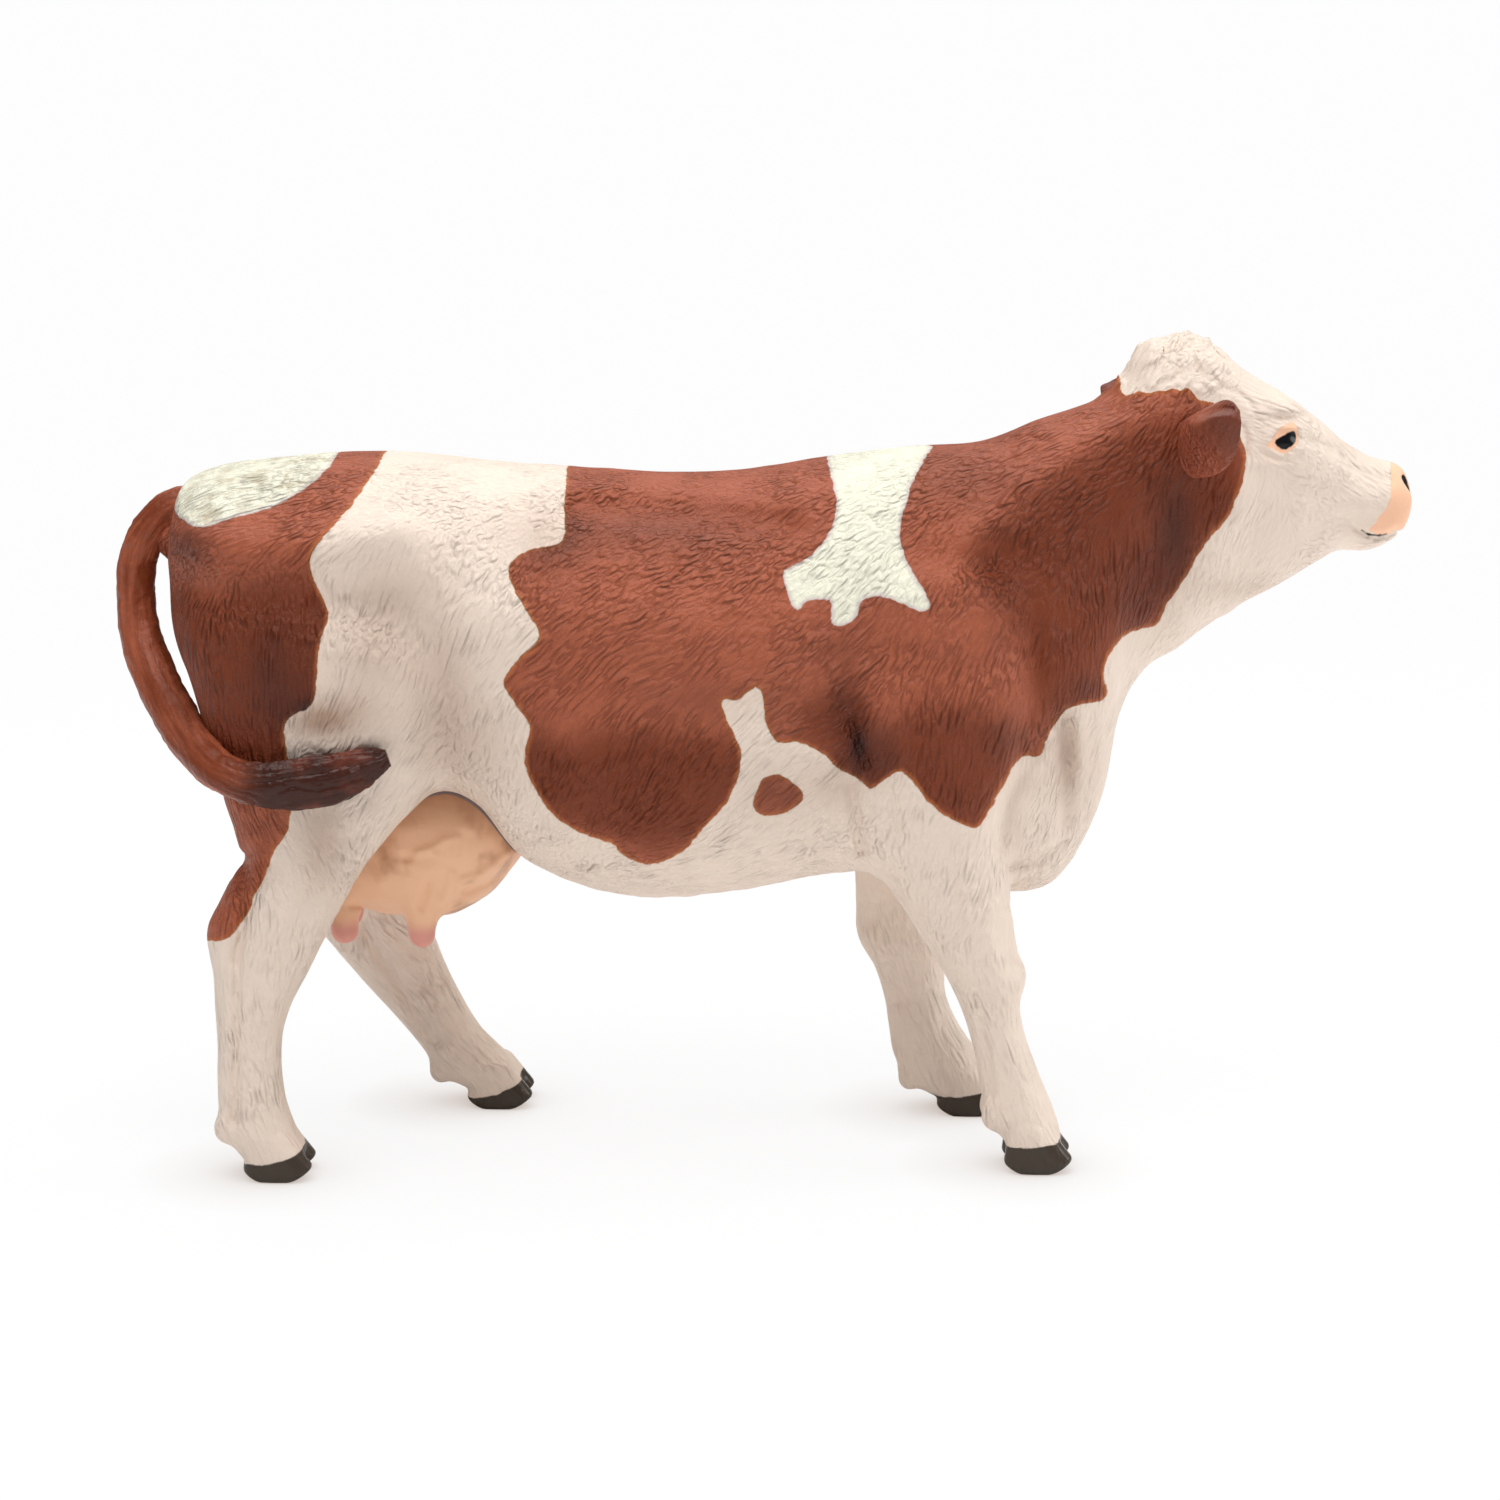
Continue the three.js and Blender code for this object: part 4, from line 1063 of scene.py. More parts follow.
def neck_plane(sign):
    """The seam of the neck, whose normal points forwards for 1 and back for -1."""
    lean = math.radians(NECK_SEAM["lean"])
    normal = np.array((math.cos(lean), 0, math.sin(lean))) * sign
    return (NECK_SEAM["x"], 0, NECK_SEAM["height"]), normal


def leg_plane(sign):
    """The seam of the legs, whose normal points up for 1 and down for -1."""
    return (0, 0, LEG_SEAM_HEIGHT), (0, 0, sign)


def add(tree, kind, settings=None, **inputs):
    """Adds a shader node. Inputs are values or outputs, named by their socket, or i0, i1 for their place."""
    made = tree.nodes.new(kind)
    for key, value in (settings or {}).items():
        setattr(made, key, value)
    for key, value in inputs.items():
        numbered = key[0] == "i" and key[1:].isdigit()
        place = made.inputs[int(key[1:])] if numbered else made.inputs[key.replace("_", " ")]
        if isinstance(value, bpy.types.NodeSocket):
            tree.links.new(value, place)
        else:
            place.default_value = value
    return made


def calc(tree, operation, *values):
    """Output of a sum on numbers."""
    inputs = {f"i{place}": value for place, value in enumerate(values)}
    return add(tree, "ShaderNodeMath", {"operation": operation}, **inputs).outputs[0]


def vector_calc(tree, operation, **inputs):
    """Outputs of a sum on vectors."""
    return add(tree, "ShaderNodeVectorMath", {"operation": operation}, **inputs).outputs


def linear(colour):
    """Linear light of a colour that is given as it shows on a screen."""
    return tuple(c / 12.92 if c <= 0.04045 else ((c + 0.055) / 1.055) ** 2.4 for c in colour[:3])


def mixed(tree, share, one, two):
    """Colour one turned into colour two by a share. Each is an output, or given as it shows on a screen."""
    one, two = (c if isinstance(c, bpy.types.NodeSocket) else (*linear(c), 1) for c in (one, two))
    return add(tree, "ShaderNodeMix", {"data_type": "RGBA"}, i0=share, i6=one, i7=two).outputs[2]


def step_between(tree, value, low, high):
    """0 at low, 1 at high, and a cubic step between."""
    smooth = {"interpolation_type": "SMOOTHSTEP"}
    return add(tree, "ShaderNodeMapRange", smooth, Value=value, From_Min=low, From_Max=high).outputs[0]


def attribute(tree, name, vector=False):
    """A number or vector that is stored on the mesh."""
    made = add(tree, "ShaderNodeAttribute", {"attribute_name": name, "attribute_type": "GEOMETRY"})
    return made.outputs["Vector" if vector else "Fac"]


def object_place(tree):
    """Place in the frame, in metres."""
    return add(tree, "ShaderNodeTexCoord").outputs["Object"]


def noise(tree, scale, detail):
    """Noise from 0 to 1 of so many lumps to a metre."""
    made = add(tree, "ShaderNodeTexNoise", None, Vector=object_place(tree), Scale=scale, Detail=detail)
    return made.outputs["Fac"]


def blots(tree, scale, detail, low, high):
    """Soft-edged blots: a cubic step of noise."""
    return step_between(tree, noise(tree, scale, detail), low, high)


FLOAT, VECTOR = "NodeSocketFloat", "NodeSocketVector"


def group_tree(name, inputs, outputs):
    """A shader node group with its sockets: (name, kind) each."""
    tree = bpy.data.node_groups.new(name, "ShaderNodeTree")
    for way, sockets in (("INPUT", inputs), ("OUTPUT", outputs)):
        for socket, kind in sockets:
            tree.interface.new_socket(socket, in_out=way, socket_type=kind)
    return tree, tree.nodes.new("NodeGroupInput"), tree.nodes.new("NodeGroupOutput")


def use_group(tree, name, maker, **inputs):
    """Outputs of a shared node group, which is made when it is first used."""
    group = bpy.data.node_groups.get(name) or maker(name)
    return add(tree, "ShaderNodeGroup", {"node_tree": group}, **inputs).outputs


# Strokes of hair: metres across and along a stroke, how sharp its groove is, and how deep it is in places
HAIR_DIRECTIONS = 8
HAIR_WIDTH = 0.0008
HAIR_LENGTH = 0.0048
HAIR_NOISE = {"Scale": 1.0, "Detail": 1.0, "Roughness": 0.4}
HAIR_GAIN = 8.0
LEAST_SHARE = 1e-4
RIDGE_ROUNDING = 0.015
GROOVE_EDGE = (0.5, 0.1)
HAIR_BLOTS = (170.0, 2.0, 0.3, 0.65)
HAIR_LEAST_DEPTH = 0.25
HAIR_GRAIN = (4000.0, 1.0)
HAIR_GRAIN_HEIGHT = 0.4


def hair_strokes_group(name):
    """Combed hair: noise drawn out along each of eight directions, mixed by how near each is to the lie.

    The lie comes as the cosine and sine of twice the angle. The mix is divided by the root of the sum of its
    squared shares, so that the strokes are as deep between two directions as on one. The height is the mix
    without its sign: round ridges, with a sharp groove wherever the mix goes through 0. It is deeper in some
    places than in others, and has a fine grain.
    """
    tree, given, result = group_tree(
        name, (("Lie", VECTOR), ("Fineness", FLOAT)), (("Groove", FLOAT), ("Height", FLOAT))
    )
    place = vector_calc(tree, "SCALE", Vector=object_place(tree), Scale=given.outputs["Fineness"])[0]
    total = 0.0
    squares = LEAST_SHARE
    for number in range(HAIR_DIRECTIONS):
        angle = math.pi * number / HAIR_DIRECTIONS
        turned = add(tree, "ShaderNodeVectorRotate", {"rotation_type": "Y_AXIS"}, Vector=place, Angle=angle)
        size = (1 / HAIR_LENGTH, 1 / HAIR_WIDTH, 1 / HAIR_WIDTH)
        drawn = vector_calc(tree, "MULTIPLY", i0=turned.outputs[0], i1=size)[0]
        strokes = add(tree, "ShaderNodeTexNoise", None, Vector=drawn, **HAIR_NOISE).outputs["Fac"]
        direction = (math.cos(2 * angle), math.sin(2 * angle), 0)
        nearness = vector_calc(tree, "DOT_PRODUCT", i0=given.outputs["Lie"], i1=direction)["Value"]
        next_one = math.cos(2 * math.pi / HAIR_DIRECTIONS)
        share = add(tree, "ShaderNodeMapRange", None, Value=nearness, From_Min=next_one, From_Max=1.0)
        share = share.outputs[0]
        total = calc(tree, "MULTIPLY_ADD", calc(tree, "SUBTRACT", strokes, 0.5), share, total)
        squares = calc(tree, "MULTIPLY_ADD", share, share, squares)
    strokes = calc(tree, "DIVIDE", total, calc(tree, "SQRT", squares))
    strokes = calc(tree, "MULTIPLY", strokes, HAIR_GAIN)
    ridge = calc(tree, "SQRT", calc(tree, "MULTIPLY_ADD", strokes, strokes, RIDGE_ROUNDING))
    depth = calc(tree, "MULTIPLY_ADD", blots(tree, *HAIR_BLOTS), 1 - HAIR_LEAST_DEPTH, HAIR_LEAST_DEPTH)
    groove = calc(tree, "MULTIPLY", step_between(tree, ridge, *GROOVE_EDGE), depth)
    tree.links.new(groove, result.inputs["Groove"])
    height = calc(tree, "MULTIPLY", ridge, depth)
    height = calc(tree, "MULTIPLY_ADD", noise(tree, *HAIR_GRAIN), HAIR_GRAIN_HEIGHT, height)
    tree.links.new(height, result.inputs["Height"])
    return tree


# Edge of a patch, in millimetres of depth: how ragged and how soft it is
RAGGED = (900.0, 3.0)
RAGGED_AMOUNT = 0.5
PATCH_EDGE = (-0.07, 0.1)


def patch_group(name):
    """A sprayed patch: cover from 0 to 1 and share of thin paint along its rim, from the depth inside it."""
    tree, given, result = group_tree(
        name, (("Depth", FLOAT), ("Rim", FLOAT)), (("Cover", FLOAT), ("Thin", FLOAT))
    )
    uneven = calc(tree, "SUBTRACT", noise(tree, *RAGGED), 0.5)
    ragged = calc(tree, "MULTIPLY_ADD", uneven, RAGGED_AMOUNT, given.outputs["Depth"])
    tree.links.new(step_between(tree, ragged, *PATCH_EDGE), result.inputs["Cover"])
    full = step_between(tree, calc(tree, "DIVIDE", ragged, given.outputs["Rim"]), 0.0, 1.0)
    tree.links.new(calc(tree, "SUBTRACT", 1.0, full), result.inputs["Thin"])
    return tree


SPECULAR_LEVEL = 0.2


def new_material(name):
    """A material with its node tree and shader."""
    material = bpy.data.materials.new(name)
    material.use_nodes = True
    shader = material.node_tree.nodes["Principled BSDF"]
    shader.inputs["Specular IOR Level"].default_value = SPECULAR_LEVEL
    return material, material.node_tree, shader


def wire(tree, shader, colour, roughness, height, relief):
    """Joins colour, roughness and a bump of so many metres to a material's shader."""
    tree.links.new(colour, shader.inputs["Base Color"])
    if isinstance(roughness, bpy.types.NodeSocket):
        tree.links.new(roughness, shader.inputs["Roughness"])
    else:
        shader.inputs["Roughness"].default_value = roughness
    bump = add(tree, "ShaderNodeBump", None, Strength=1.0, Distance=relief, Height=height)
    tree.links.new(bump.outputs["Normal"], shader.inputs["Normal"])


COAT_ROUGHNESS = 0.5
COAT_CLOUD = (120.0, 2.0)
# Width of the thin rim of a patch, in millimetres
RIM = 0.6
OVERPAINT_RIM = 0.5
# How strongly each tint shows: the groove tints are painted shade between the hairs, partly a dark wash, and
# the white shade is painted shade in the hollows
WHITE_GROOVE_SHADE = 0.1
WHITE_SHADE = 0.65
BROWN_RIM = 0.9
BROWN_GROOVE_SHADE = 0.4
CREAM_GROOVE_SHADE = 0.08
CREAM_RIM = 0.6
# The crust of cream at the head of the tail: painted shade in its grooves, its blots and its lumps
CRUST_GROOVE_SHADE = 0.3
CRUST_BLOTS = (420.0, 3.0, 0.45, 0.7)
CRUST_BLOT = 0.5
CRUST_LUMPS = (800.0, 3.0)
CRUST_LUMP_HEIGHT = 1.6
# Height of the hair as a share of that on brown: on white, on the head's white, lost under other paints
WHITE_RELIEF = 0.55
HEAD_WHITE_RELIEF = 0.4
CREAM_LOSS = 0.3
CRUST_GAIN = 0.2
OVERPAINT_LOSS = 0.8


def coat_colours(tree, paints, groove, brown, cream, crust):
    """Colour of a coat: white with painted shade in its hollows and grooves, brown patches with deeper brown,
    dark wash and painted shade on them, and cream on top.
    """
    # Wash and painted shade: on white it turns to the white shade, on brown to the dark wash colour
    wash = attribute(tree, "wash")
    # Painted shade in the grooves between the hairs
    white = mixed(tree, calc(tree, "MULTIPLY", groove, WHITE_GROOVE_SHADE), paints.white, paints.white_groove_shade)
    white = mixed(tree, calc(tree, "MULTIPLY", wash, WHITE_SHADE), white, paints.white_shade)
    cloud = calc(tree, "SUBTRACT", noise(tree, *COAT_CLOUD), 0.5)
    # Deeper brown with random clouds, partly painted shade where the coat faces down
    deep = step_between(tree, calc(tree, "ADD", cloud, attribute(tree, "deep")), 0.0, 1.0)
    fur = mixed(tree, deep, paints.brown, paints.brown_deep_and_shade)
    fur = mixed(tree, calc(tree, "MULTIPLY", brown["Thin"], BROWN_RIM), fur, paints.brown_rim)
    fur = mixed(tree, calc(tree, "MULTIPLY", groove, BROWN_GROOVE_SHADE), fur, paints.brown_groove_shade)
    fur = mixed(tree, wash, fur, paints.wash)
    # Painted shade in the grooves, and real blots on the crust
    shade_and_stain = calc(tree, "MULTIPLY", groove, calc(tree, "MULTIPLY_ADD", crust, CRUST_GROOVE_SHADE, CREAM_GROOVE_SHADE))
    spots = calc(tree, "MULTIPLY", blots(tree, *CRUST_BLOTS), crust)
    shade_and_stain = calc(tree, "MULTIPLY_ADD", spots, CRUST_BLOT, shade_and_stain)
    thick = mixed(tree, shade_and_stain, paints.cream, paints.cream_groove_shade_and_stain)
    thick = mixed(tree, calc(tree, "MULTIPLY", cream["Thin"], CREAM_RIM), thick, paints.cream_rim)
    return mixed(tree, cream["Cover"], mixed(tree, brown["Cover"], white, fur), thick)


def coat_relief(tree, strokes, brown, cream, crust, white_relief):
    """Height of a coat's hair, as a share of the relief: less on white and cream, with lumps in crust."""
    depth = calc(tree, "MULTIPLY_ADD", brown["Cover"], 1 - white_relief, white_relief)
    covered = calc(tree, "MULTIPLY_ADD", crust, CRUST_GAIN, -CREAM_LOSS)
    depth = calc(tree, "MULTIPLY_ADD", cream["Cover"], covered, depth)
    height = calc(tree, "MULTIPLY", strokes["Height"], depth)
    lumps = calc(tree, "MULTIPLY", calc(tree, "MULTIPLY", cream["Cover"], crust), CRUST_LUMP_HEIGHT)
    return calc(tree, "MULTIPLY_ADD", noise(tree, *CRUST_LUMPS), lumps, height)


def coat_material(name, paints, overpaints=(), white_relief=WHITE_RELIEF):
    """Painted coat: white, with brown patches under cream ones, dark wash and painted shade, and strokes of
    hair pressed in.

    overpaints are (attribute, colour, roughness) for each further paint laid over the coat, in order.
    white_relief is the height of the hair on white, as a share of that on brown.
    """

    def patch(key, rim):
        return use_group(tree, "paint patch", patch_group, Depth=attribute(tree, key), Rim=rim)

    material, tree, shader = new_material(name)
    lie = attribute(tree, "lie", vector=True)
    strokes = use_group(tree, "hair strokes", hair_strokes_group, Lie=lie, Fineness=paints.hair_fineness)
    brown, cream = patch("brown", RIM), patch("cream", RIM)
    crust = attribute(tree, "crust")
    colour = coat_colours(tree, paints, strokes["Groove"], brown, cream, crust)
    height = coat_relief(tree, strokes, brown, cream, crust, white_relief)
    roughness = COAT_ROUGHNESS
    for key, paint, gloss in overpaints:
        cover = patch(key, OVERPAINT_RIM)["Cover"]
        colour = mixed(tree, cover, colour, paint)
        roughness = calc(tree, "MULTIPLY_ADD", cover, gloss - COAT_ROUGHNESS, roughness)
        height = calc(tree, "MULTIPLY", height, calc(tree, "MULTIPLY_ADD", cover, -OVERPAINT_LOSS, 1.0))
    wire(tree, shader, colour, roughness, height, paints.hair_relief)
    return material


SKIN_ROUGHNESS = 0.42
UDDER_BLOTS = (200.0, 3.0, 0.48, 0.72)
UDDER_PORES = (700.0, 2.0)
UDDER_RELIEF = 0.0001
# Heights in metres where painted shade darkens the udder under the belly, and where it turns pink, and
# millimetres from the belly where its seam shows
PAINTED_SHADE_HEIGHTS = (0.033, 0.043)
PINK_HEIGHTS = (0.0265, 0.0245)
SEAM_REACH = (0.5, 0.3)


def udder_material(paints):
    """Flesh skin with smudges, painted shade towards the belly, with a dark seam and pink teats."""
    material, tree, shader = new_material("udder skin")
    height = add(tree, "ShaderNodeSeparateXYZ", None, Vector=object_place(tree)).outputs["Z"]
    skin = mixed(tree, blots(tree, *UDDER_BLOTS), paints.udder, paints.udder_shade)
    skin = mixed(tree, step_between(tree, height, *PAINTED_SHADE_HEIGHTS), skin, paints.udder_shade)
    skin = mixed(tree, step_between(tree, attribute(tree, "seam"), *SEAM_REACH), skin, paints.seam)
    skin = mixed(tree, step_between(tree, height, *PINK_HEIGHTS), skin, paints.teat)
    wire(tree, shader, skin, SKIN_ROUGHNESS, noise(tree, *UDDER_PORES), UDDER_RELIEF)
    return material


TAIL_STREAKS = {"Scale": 0.9, "Detail": 3.0}
STREAK_EDGE = (0.25, 0.65)
STREAK_HEIGHT = 0.8
SWITCH_BLOTS = (240.0, 2.0, 0.45, 0.9)
SWITCH_PAINT = (0.62, 0.74)
SWITCH_GLOSS = -0.18
TAIL_PORES = (1500.0, 2.0)
TAIL_RELIEF = 0.00015


def tail_material(paints):
    """Brown with darker streaks along the tail, and dark locks on the switch."""
    material, tree, shader = new_material("tail hair")
    switch = step_between(tree, attribute(tree, "along"), *SWITCH_PAINT)
    place = attribute(tree, "streak", vector=True)
    streak = add(tree, "ShaderNodeTexNoise", None, Vector=place, **TAIL_STREAKS).outputs["Fac"]
    streak = step_between(tree, streak, *STREAK_EDGE)
    colour = mixed(tree, streak, paints.brown, paints.brown_deep_and_shade)
    locks = mixed(tree, blots(tree, *SWITCH_BLOTS), paints.switch, paints.ear)
    roughness = calc(tree, "MULTIPLY_ADD", switch, SWITCH_GLOSS, SKIN_ROUGHNESS)
    height = calc(tree, "MULTIPLY_ADD", streak, STREAK_HEIGHT, noise(tree, *TAIL_PORES))
    wire(tree, shader, mixed(tree, switch, colour, locks), roughness, height, TAIL_RELIEF)
    return material


EAR_CLOUD = (260.0, 2.0)
EAR_LUMPS = (500.0, 2.0)
EAR_TIP_SHADE_EDGE = (0.5, 0.95)
EAR_TIP_SHADE_SHARE = 0.55
EAR_RELIEF = 0.5


def ear_material(paints):
    """Brown with strokes of hair, with painted shade darkening it towards the tip."""
    material, tree, shader = new_material("ear paint")
    strokes = use_group(tree, "hair strokes", hair_strokes_group, Lie=EAR_LIE, Fineness=paints.hair_fineness)
    colour = mixed(tree, noise(tree, *EAR_CLOUD), paints.ear, paints.brown)
    # Painted shade in the hollow of the ear towards its tip
    tip = calc(tree, "MULTIPLY", step_between(tree, attribute(tree, "along"), *EAR_TIP_SHADE_EDGE), EAR_TIP_SHADE_SHARE)
    colour = mixed(tree, tip, colour, paints.switch)
    height = calc(tree, "ADD", strokes["Height"], noise(tree, *EAR_LUMPS))
    wire(tree, shader, colour, SKIN_ROUGHNESS, height, EAR_RELIEF * paints.hair_relief)
    return material


def give(piece, material, node):
    """Hands a piece its material, hangs it on the root body, and hides the CAD node that it stands for."""
    piece.data.materials.append(material)
    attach(piece, "root")
    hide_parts(node)


def paint_property(name, description, colour):
    """A colour, as it shows on a screen."""
    return bpy.props.FloatVectorProperty(
        name=name, description=description, subtype="COLOR_GAMMA", size=3, min=0, max=1, default=colour
    )


def power_property(name, description, power):
    """The power of a light."""
    return bpy.props.FloatProperty(name=name, description=description, default=power, min=0, unit="POWER")


class CowPaints(bpy.types.PropertyGroup):
    """Paints of the cow, painted shade among them, as they show on a screen, and the size of its hair."""

    white: paint_property("White", "White coat", (0.92, 0.85, 0.79))
    # Painted shade in the grooves between the hairs, partly a dark wash
    white_groove_shade: paint_property("White grooves", "White coat between the hairs", (0.78, 0.66, 0.58))
    white_shade: paint_property("White shade", "White coat in the hollows", (0.68, 0.565, 0.49))
    brown: paint_property("Brown", "Brown patches", (0.66, 0.36, 0.255))
    # Deeper brown, also painted shade on the neck, thigh, belly and arm, and the darker streaks of the tail
    brown_deep_and_shade: paint_property("Deep brown", "Brown where it is laid on deeper", (0.475, 0.22, 0.12))
    brown_rim: paint_property("Brown rim", "Thin brown at the edge of a patch", (0.73, 0.42, 0.23))
    # Painted shade in the grooves between the hairs, partly a dark wash
    brown_groove_shade: paint_property("Brown grooves", "Brown coat between the hairs", (0.36, 0.15, 0.09))
    cream: paint_property("Cream", "Thick white over the brown", (0.93, 0.92, 0.84))
    # Painted shade in the grooves between the hairs, and the blots on the crust
    cream_groove_shade_and_stain: paint_property("Cream grooves", "Thick white between the hairs", (0.72, 0.655, 0.54))
    cream_rim: paint_property("Cream rim", "Thick white where it thins out", (0.74, 0.66, 0.68))
    # Dark wash that is also painted shade and painted shadow in the hollows
    wash: paint_property("Wash", "Dark wash in the hollows", (0.20, 0.12, 0.11))
    flesh: paint_property("Flesh", "Muzzle and rims of the eyes", (0.97, 0.77, 0.64))
    ink: paint_property("Black", "Eyes and nostrils", (0.07, 0.07, 0.08))
    horn: paint_property("Horn", "Hooves", (0.27, 0.235, 0.20))
    udder: paint_property("Udder", "Skin of the udder", (0.93, 0.74, 0.60))
    # Darker skin for the smudges, and painted shade under the belly
    udder_shade: paint_property("Udder shade", "Darker skin of the udder", (0.75, 0.55, 0.42))
    seam: paint_property("Seam", "Edge of the udder's socket", (0.55, 0.50, 0.50))
    teat: paint_property("Teats", "Pink of the teats", (0.86, 0.60, 0.54))
    switch: paint_property("Switch", "Brush of the tail", (0.25, 0.13, 0.10))
    ear: paint_property("Ears", "Backs of the ears", (0.55, 0.285, 0.215))
    hair_fineness: bpy.props.FloatProperty(
        name="Hair fineness", description="Strokes to a length, 1 as made", default=1.0, min=0.2, max=5
    )
    hair_relief: bpy.props.FloatProperty(
        name="Hair relief", description="Height of the hair", default=0.0003, min=0, max=0.001, unit="LENGTH"
    )


class CowStudio(bpy.types.PropertyGroup):
    """Floor and light."""

    floor: paint_property("Floor", "Floor and backdrop", (0.98, 0.98, 0.98))
    floor_shade: paint_property("Floor shade", "Floor close under a hoof", (0.8095, 0.7484, 0.7084))
    key_power: power_property("Key light", "Power of the light over the camera", 3.3)
    top_power: power_property("Top light", "Power of the light overhead", 2.9)
    back_power: power_property("Back light", "Power of the light over the far side", 1.2)
    front_power: power_property("Front light", "Power of the light ahead of the cow", 3.0)
    sky: bpy.props.FloatProperty(
        name="Room light", description="Brightness of the room all round", default=0.2, min=0, max=4
    )


# Boxes that the pieces are drawn in, the steps of their grids, and the room round a leg
TRUNK_BOX = ((-66, -24, 25.8), (44, 24, 86))
HEAD_BOX = ((24, -14, 48.5), (73, 18, 91.5))
UDDER_BOX = ((-53.5, -11, 22), (-24, 11, 46))
TRUNK_STEP = 0.475
HEAD_STEP = 0.24
LEG_STEP = 0.26
UDDER_STEP = 0.28
LEG_MIDDLE = 11.5
LEG_ROOM = 7
LEG_MARGIN = 2
LEG_TOP_MARGIN = 1.2
GROUND_MARGIN = 1.0
LEG_EDGE_MARGIN = 4
# Roughness of the paints laid over the coat
FLESH_ROUGHNESS = 0.5
INK_ROUGHNESS = 0.2
HORN_ROUGHNESS = 0.25
LIP_WIDTH = 1


class CowTrunk(bpy.types.Operator):
    """Builds the trunk, with thighs and upper arms."""

    bl_idname = "cow.trunk"
    bl_label = "Trunk"

    def execute(self, context):
        planes = (leg_plane(-1), neck_plane(1))
        piece, _, _ = coat_piece("trunk_moulding", *TRUNK_BOX, TRUNK_STEP, planes)
        give(piece, coat_material("trunk paint", context.scene.cow_paints), "trunk")
        return {"FINISHED"}


class CowHead(bpy.types.Operator):
    """Builds the head and neck, with eyes, muzzle and forelock."""

    bl_idname = "cow.head"
    bl_label = "Head and neck"

    def execute(self, context):
        paints = context.scene.cow_paints
        planes = (neck_plane(-1),)
        piece, mesh, points = coat_piece("head_and_neck_moulding", *HEAD_BOX, HEAD_STEP, planes)
        u, v, unit = side_view(points, True)
        store(mesh, "flesh", deepest(u, v, (MUZZLE_PATCH, EYE_RIM)) * unit)
        ink = np.maximum(patch_depth(u, v, EYE_BALL), LIP_WIDTH - line_distance(u, v, LIPS)) * unit
        nostril = 1 - from_nostril(*head_places(*points.T[:2]), points[:, 2])
        store(mesh, "ink", np.maximum(ink, nostril))
        overpaints = (("flesh", paints.flesh, FLESH_ROUGHNESS), ("ink", paints.ink, INK_ROUGHNESS))
        material = coat_material("head paint", paints, overpaints, HEAD_WHITE_RELIEF)
        give(piece, material, "head_and_neck")
        return {"FINISHED"}


class CowLegs(bpy.types.Operator):
    """Builds the four legs below their seams, with their hooves."""

    bl_idname = "cow.legs"
    bl_label = "Legs"

    def execute(self, context):
        paints = context.scene.cow_paints
        material = coat_material("leg paint", paints, (("horn", paints.horn, HORN_ROUGHNESS),))
        for name, leg in LEGS.items():
            piece, mesh, points = coat_piece(name + "_moulding", *self.box(leg), LEG_STEP, (leg_plane(1),))
            ahead = np.clip((points[:, 0] - leg["toe"] + CLAW_LENGTH) / CLAW_LENGTH, 0, 1)
            horn_top = leg["heel_horn"] + (leg["toe_horn"] - leg["heel_horn"]) * ahead**2
            store(mesh, "horn", horn_top - points[:, 2])
            give(piece, material, name)
        return {"FINISHED"}

    @staticmethod
    def box(leg):
        """The box that a leg is drawn in: all of its edges up to the seam, with some room."""
        edges = np.array([row for row in leg["edges"] if row[0] < LEG_SEAM_HEIGHT + LEG_EDGE_MARGIN])
        front = max(edges[:, 2].max(), leg["toe"])
        middle = leg["side"] * LEG_MIDDLE
        low = (edges[:, 1].min() - LEG_MARGIN, middle - LEG_ROOM, -GROUND_MARGIN)
        return low, (front + LEG_MARGIN, middle + LEG_ROOM, LEG_SEAM_HEIGHT + LEG_TOP_MARGIN)


class CowUdder(bpy.types.Operator):
    """Builds the udder with its teats."""

    bl_idname = "cow.udder"
    bl_label = "Udder"

    def execute(self, context):
        points, quads = surface_net(udder_field, *UDDER_BOX, UDDER_STEP)
        mesh = trimmed(points, quads, ())
        store(mesh, "seam", body_field(points))
        piece = finish_mesh(mesh, points, "udder_moulding")
        give(piece, udder_material(context.scene.cow_paints), "udder")
        return {"FINISHED"}


def tube(stations, steps, sides, swell):
    """Rings along a path, and the place of each corner along (0 to 1) and round (share of a turn) them.

    A ring's middle runs along a smooth curve through the stations. Its corners go round the middle in the
    plane across the path, out by the station's half height and half depth times the swell at along and turn.
    """
    curve = curve_through(stations, steps)
    path = curve[:, :3]
    ahead = np.gradient(path, axis=0)
    ahead /= np.linalg.norm(ahead, axis=1, keepdims=True)
    outward = np.array((0.0, RIGHT, 0.0)) - ahead * (RIGHT * ahead[:, 1:2])
    outward /= np.linalg.norm(outward, axis=1, keepdims=True)
    across = np.cross(ahead, outward)
    along, turn = np.meshgrid(np.linspace(0, 1, len(path)), np.arange(sides) / sides, indexing="ij")
    size = swell(along, turn)
    wide = (curve[:, 3:4] * size * np.cos(2 * np.pi * turn))[..., None]
    deep = (curve[:, 4:5] * size * np.sin(2 * np.pi * turn))[..., None]
    return path[:, None] + across[:, None] * wide + outward[:, None] * deep, along, turn


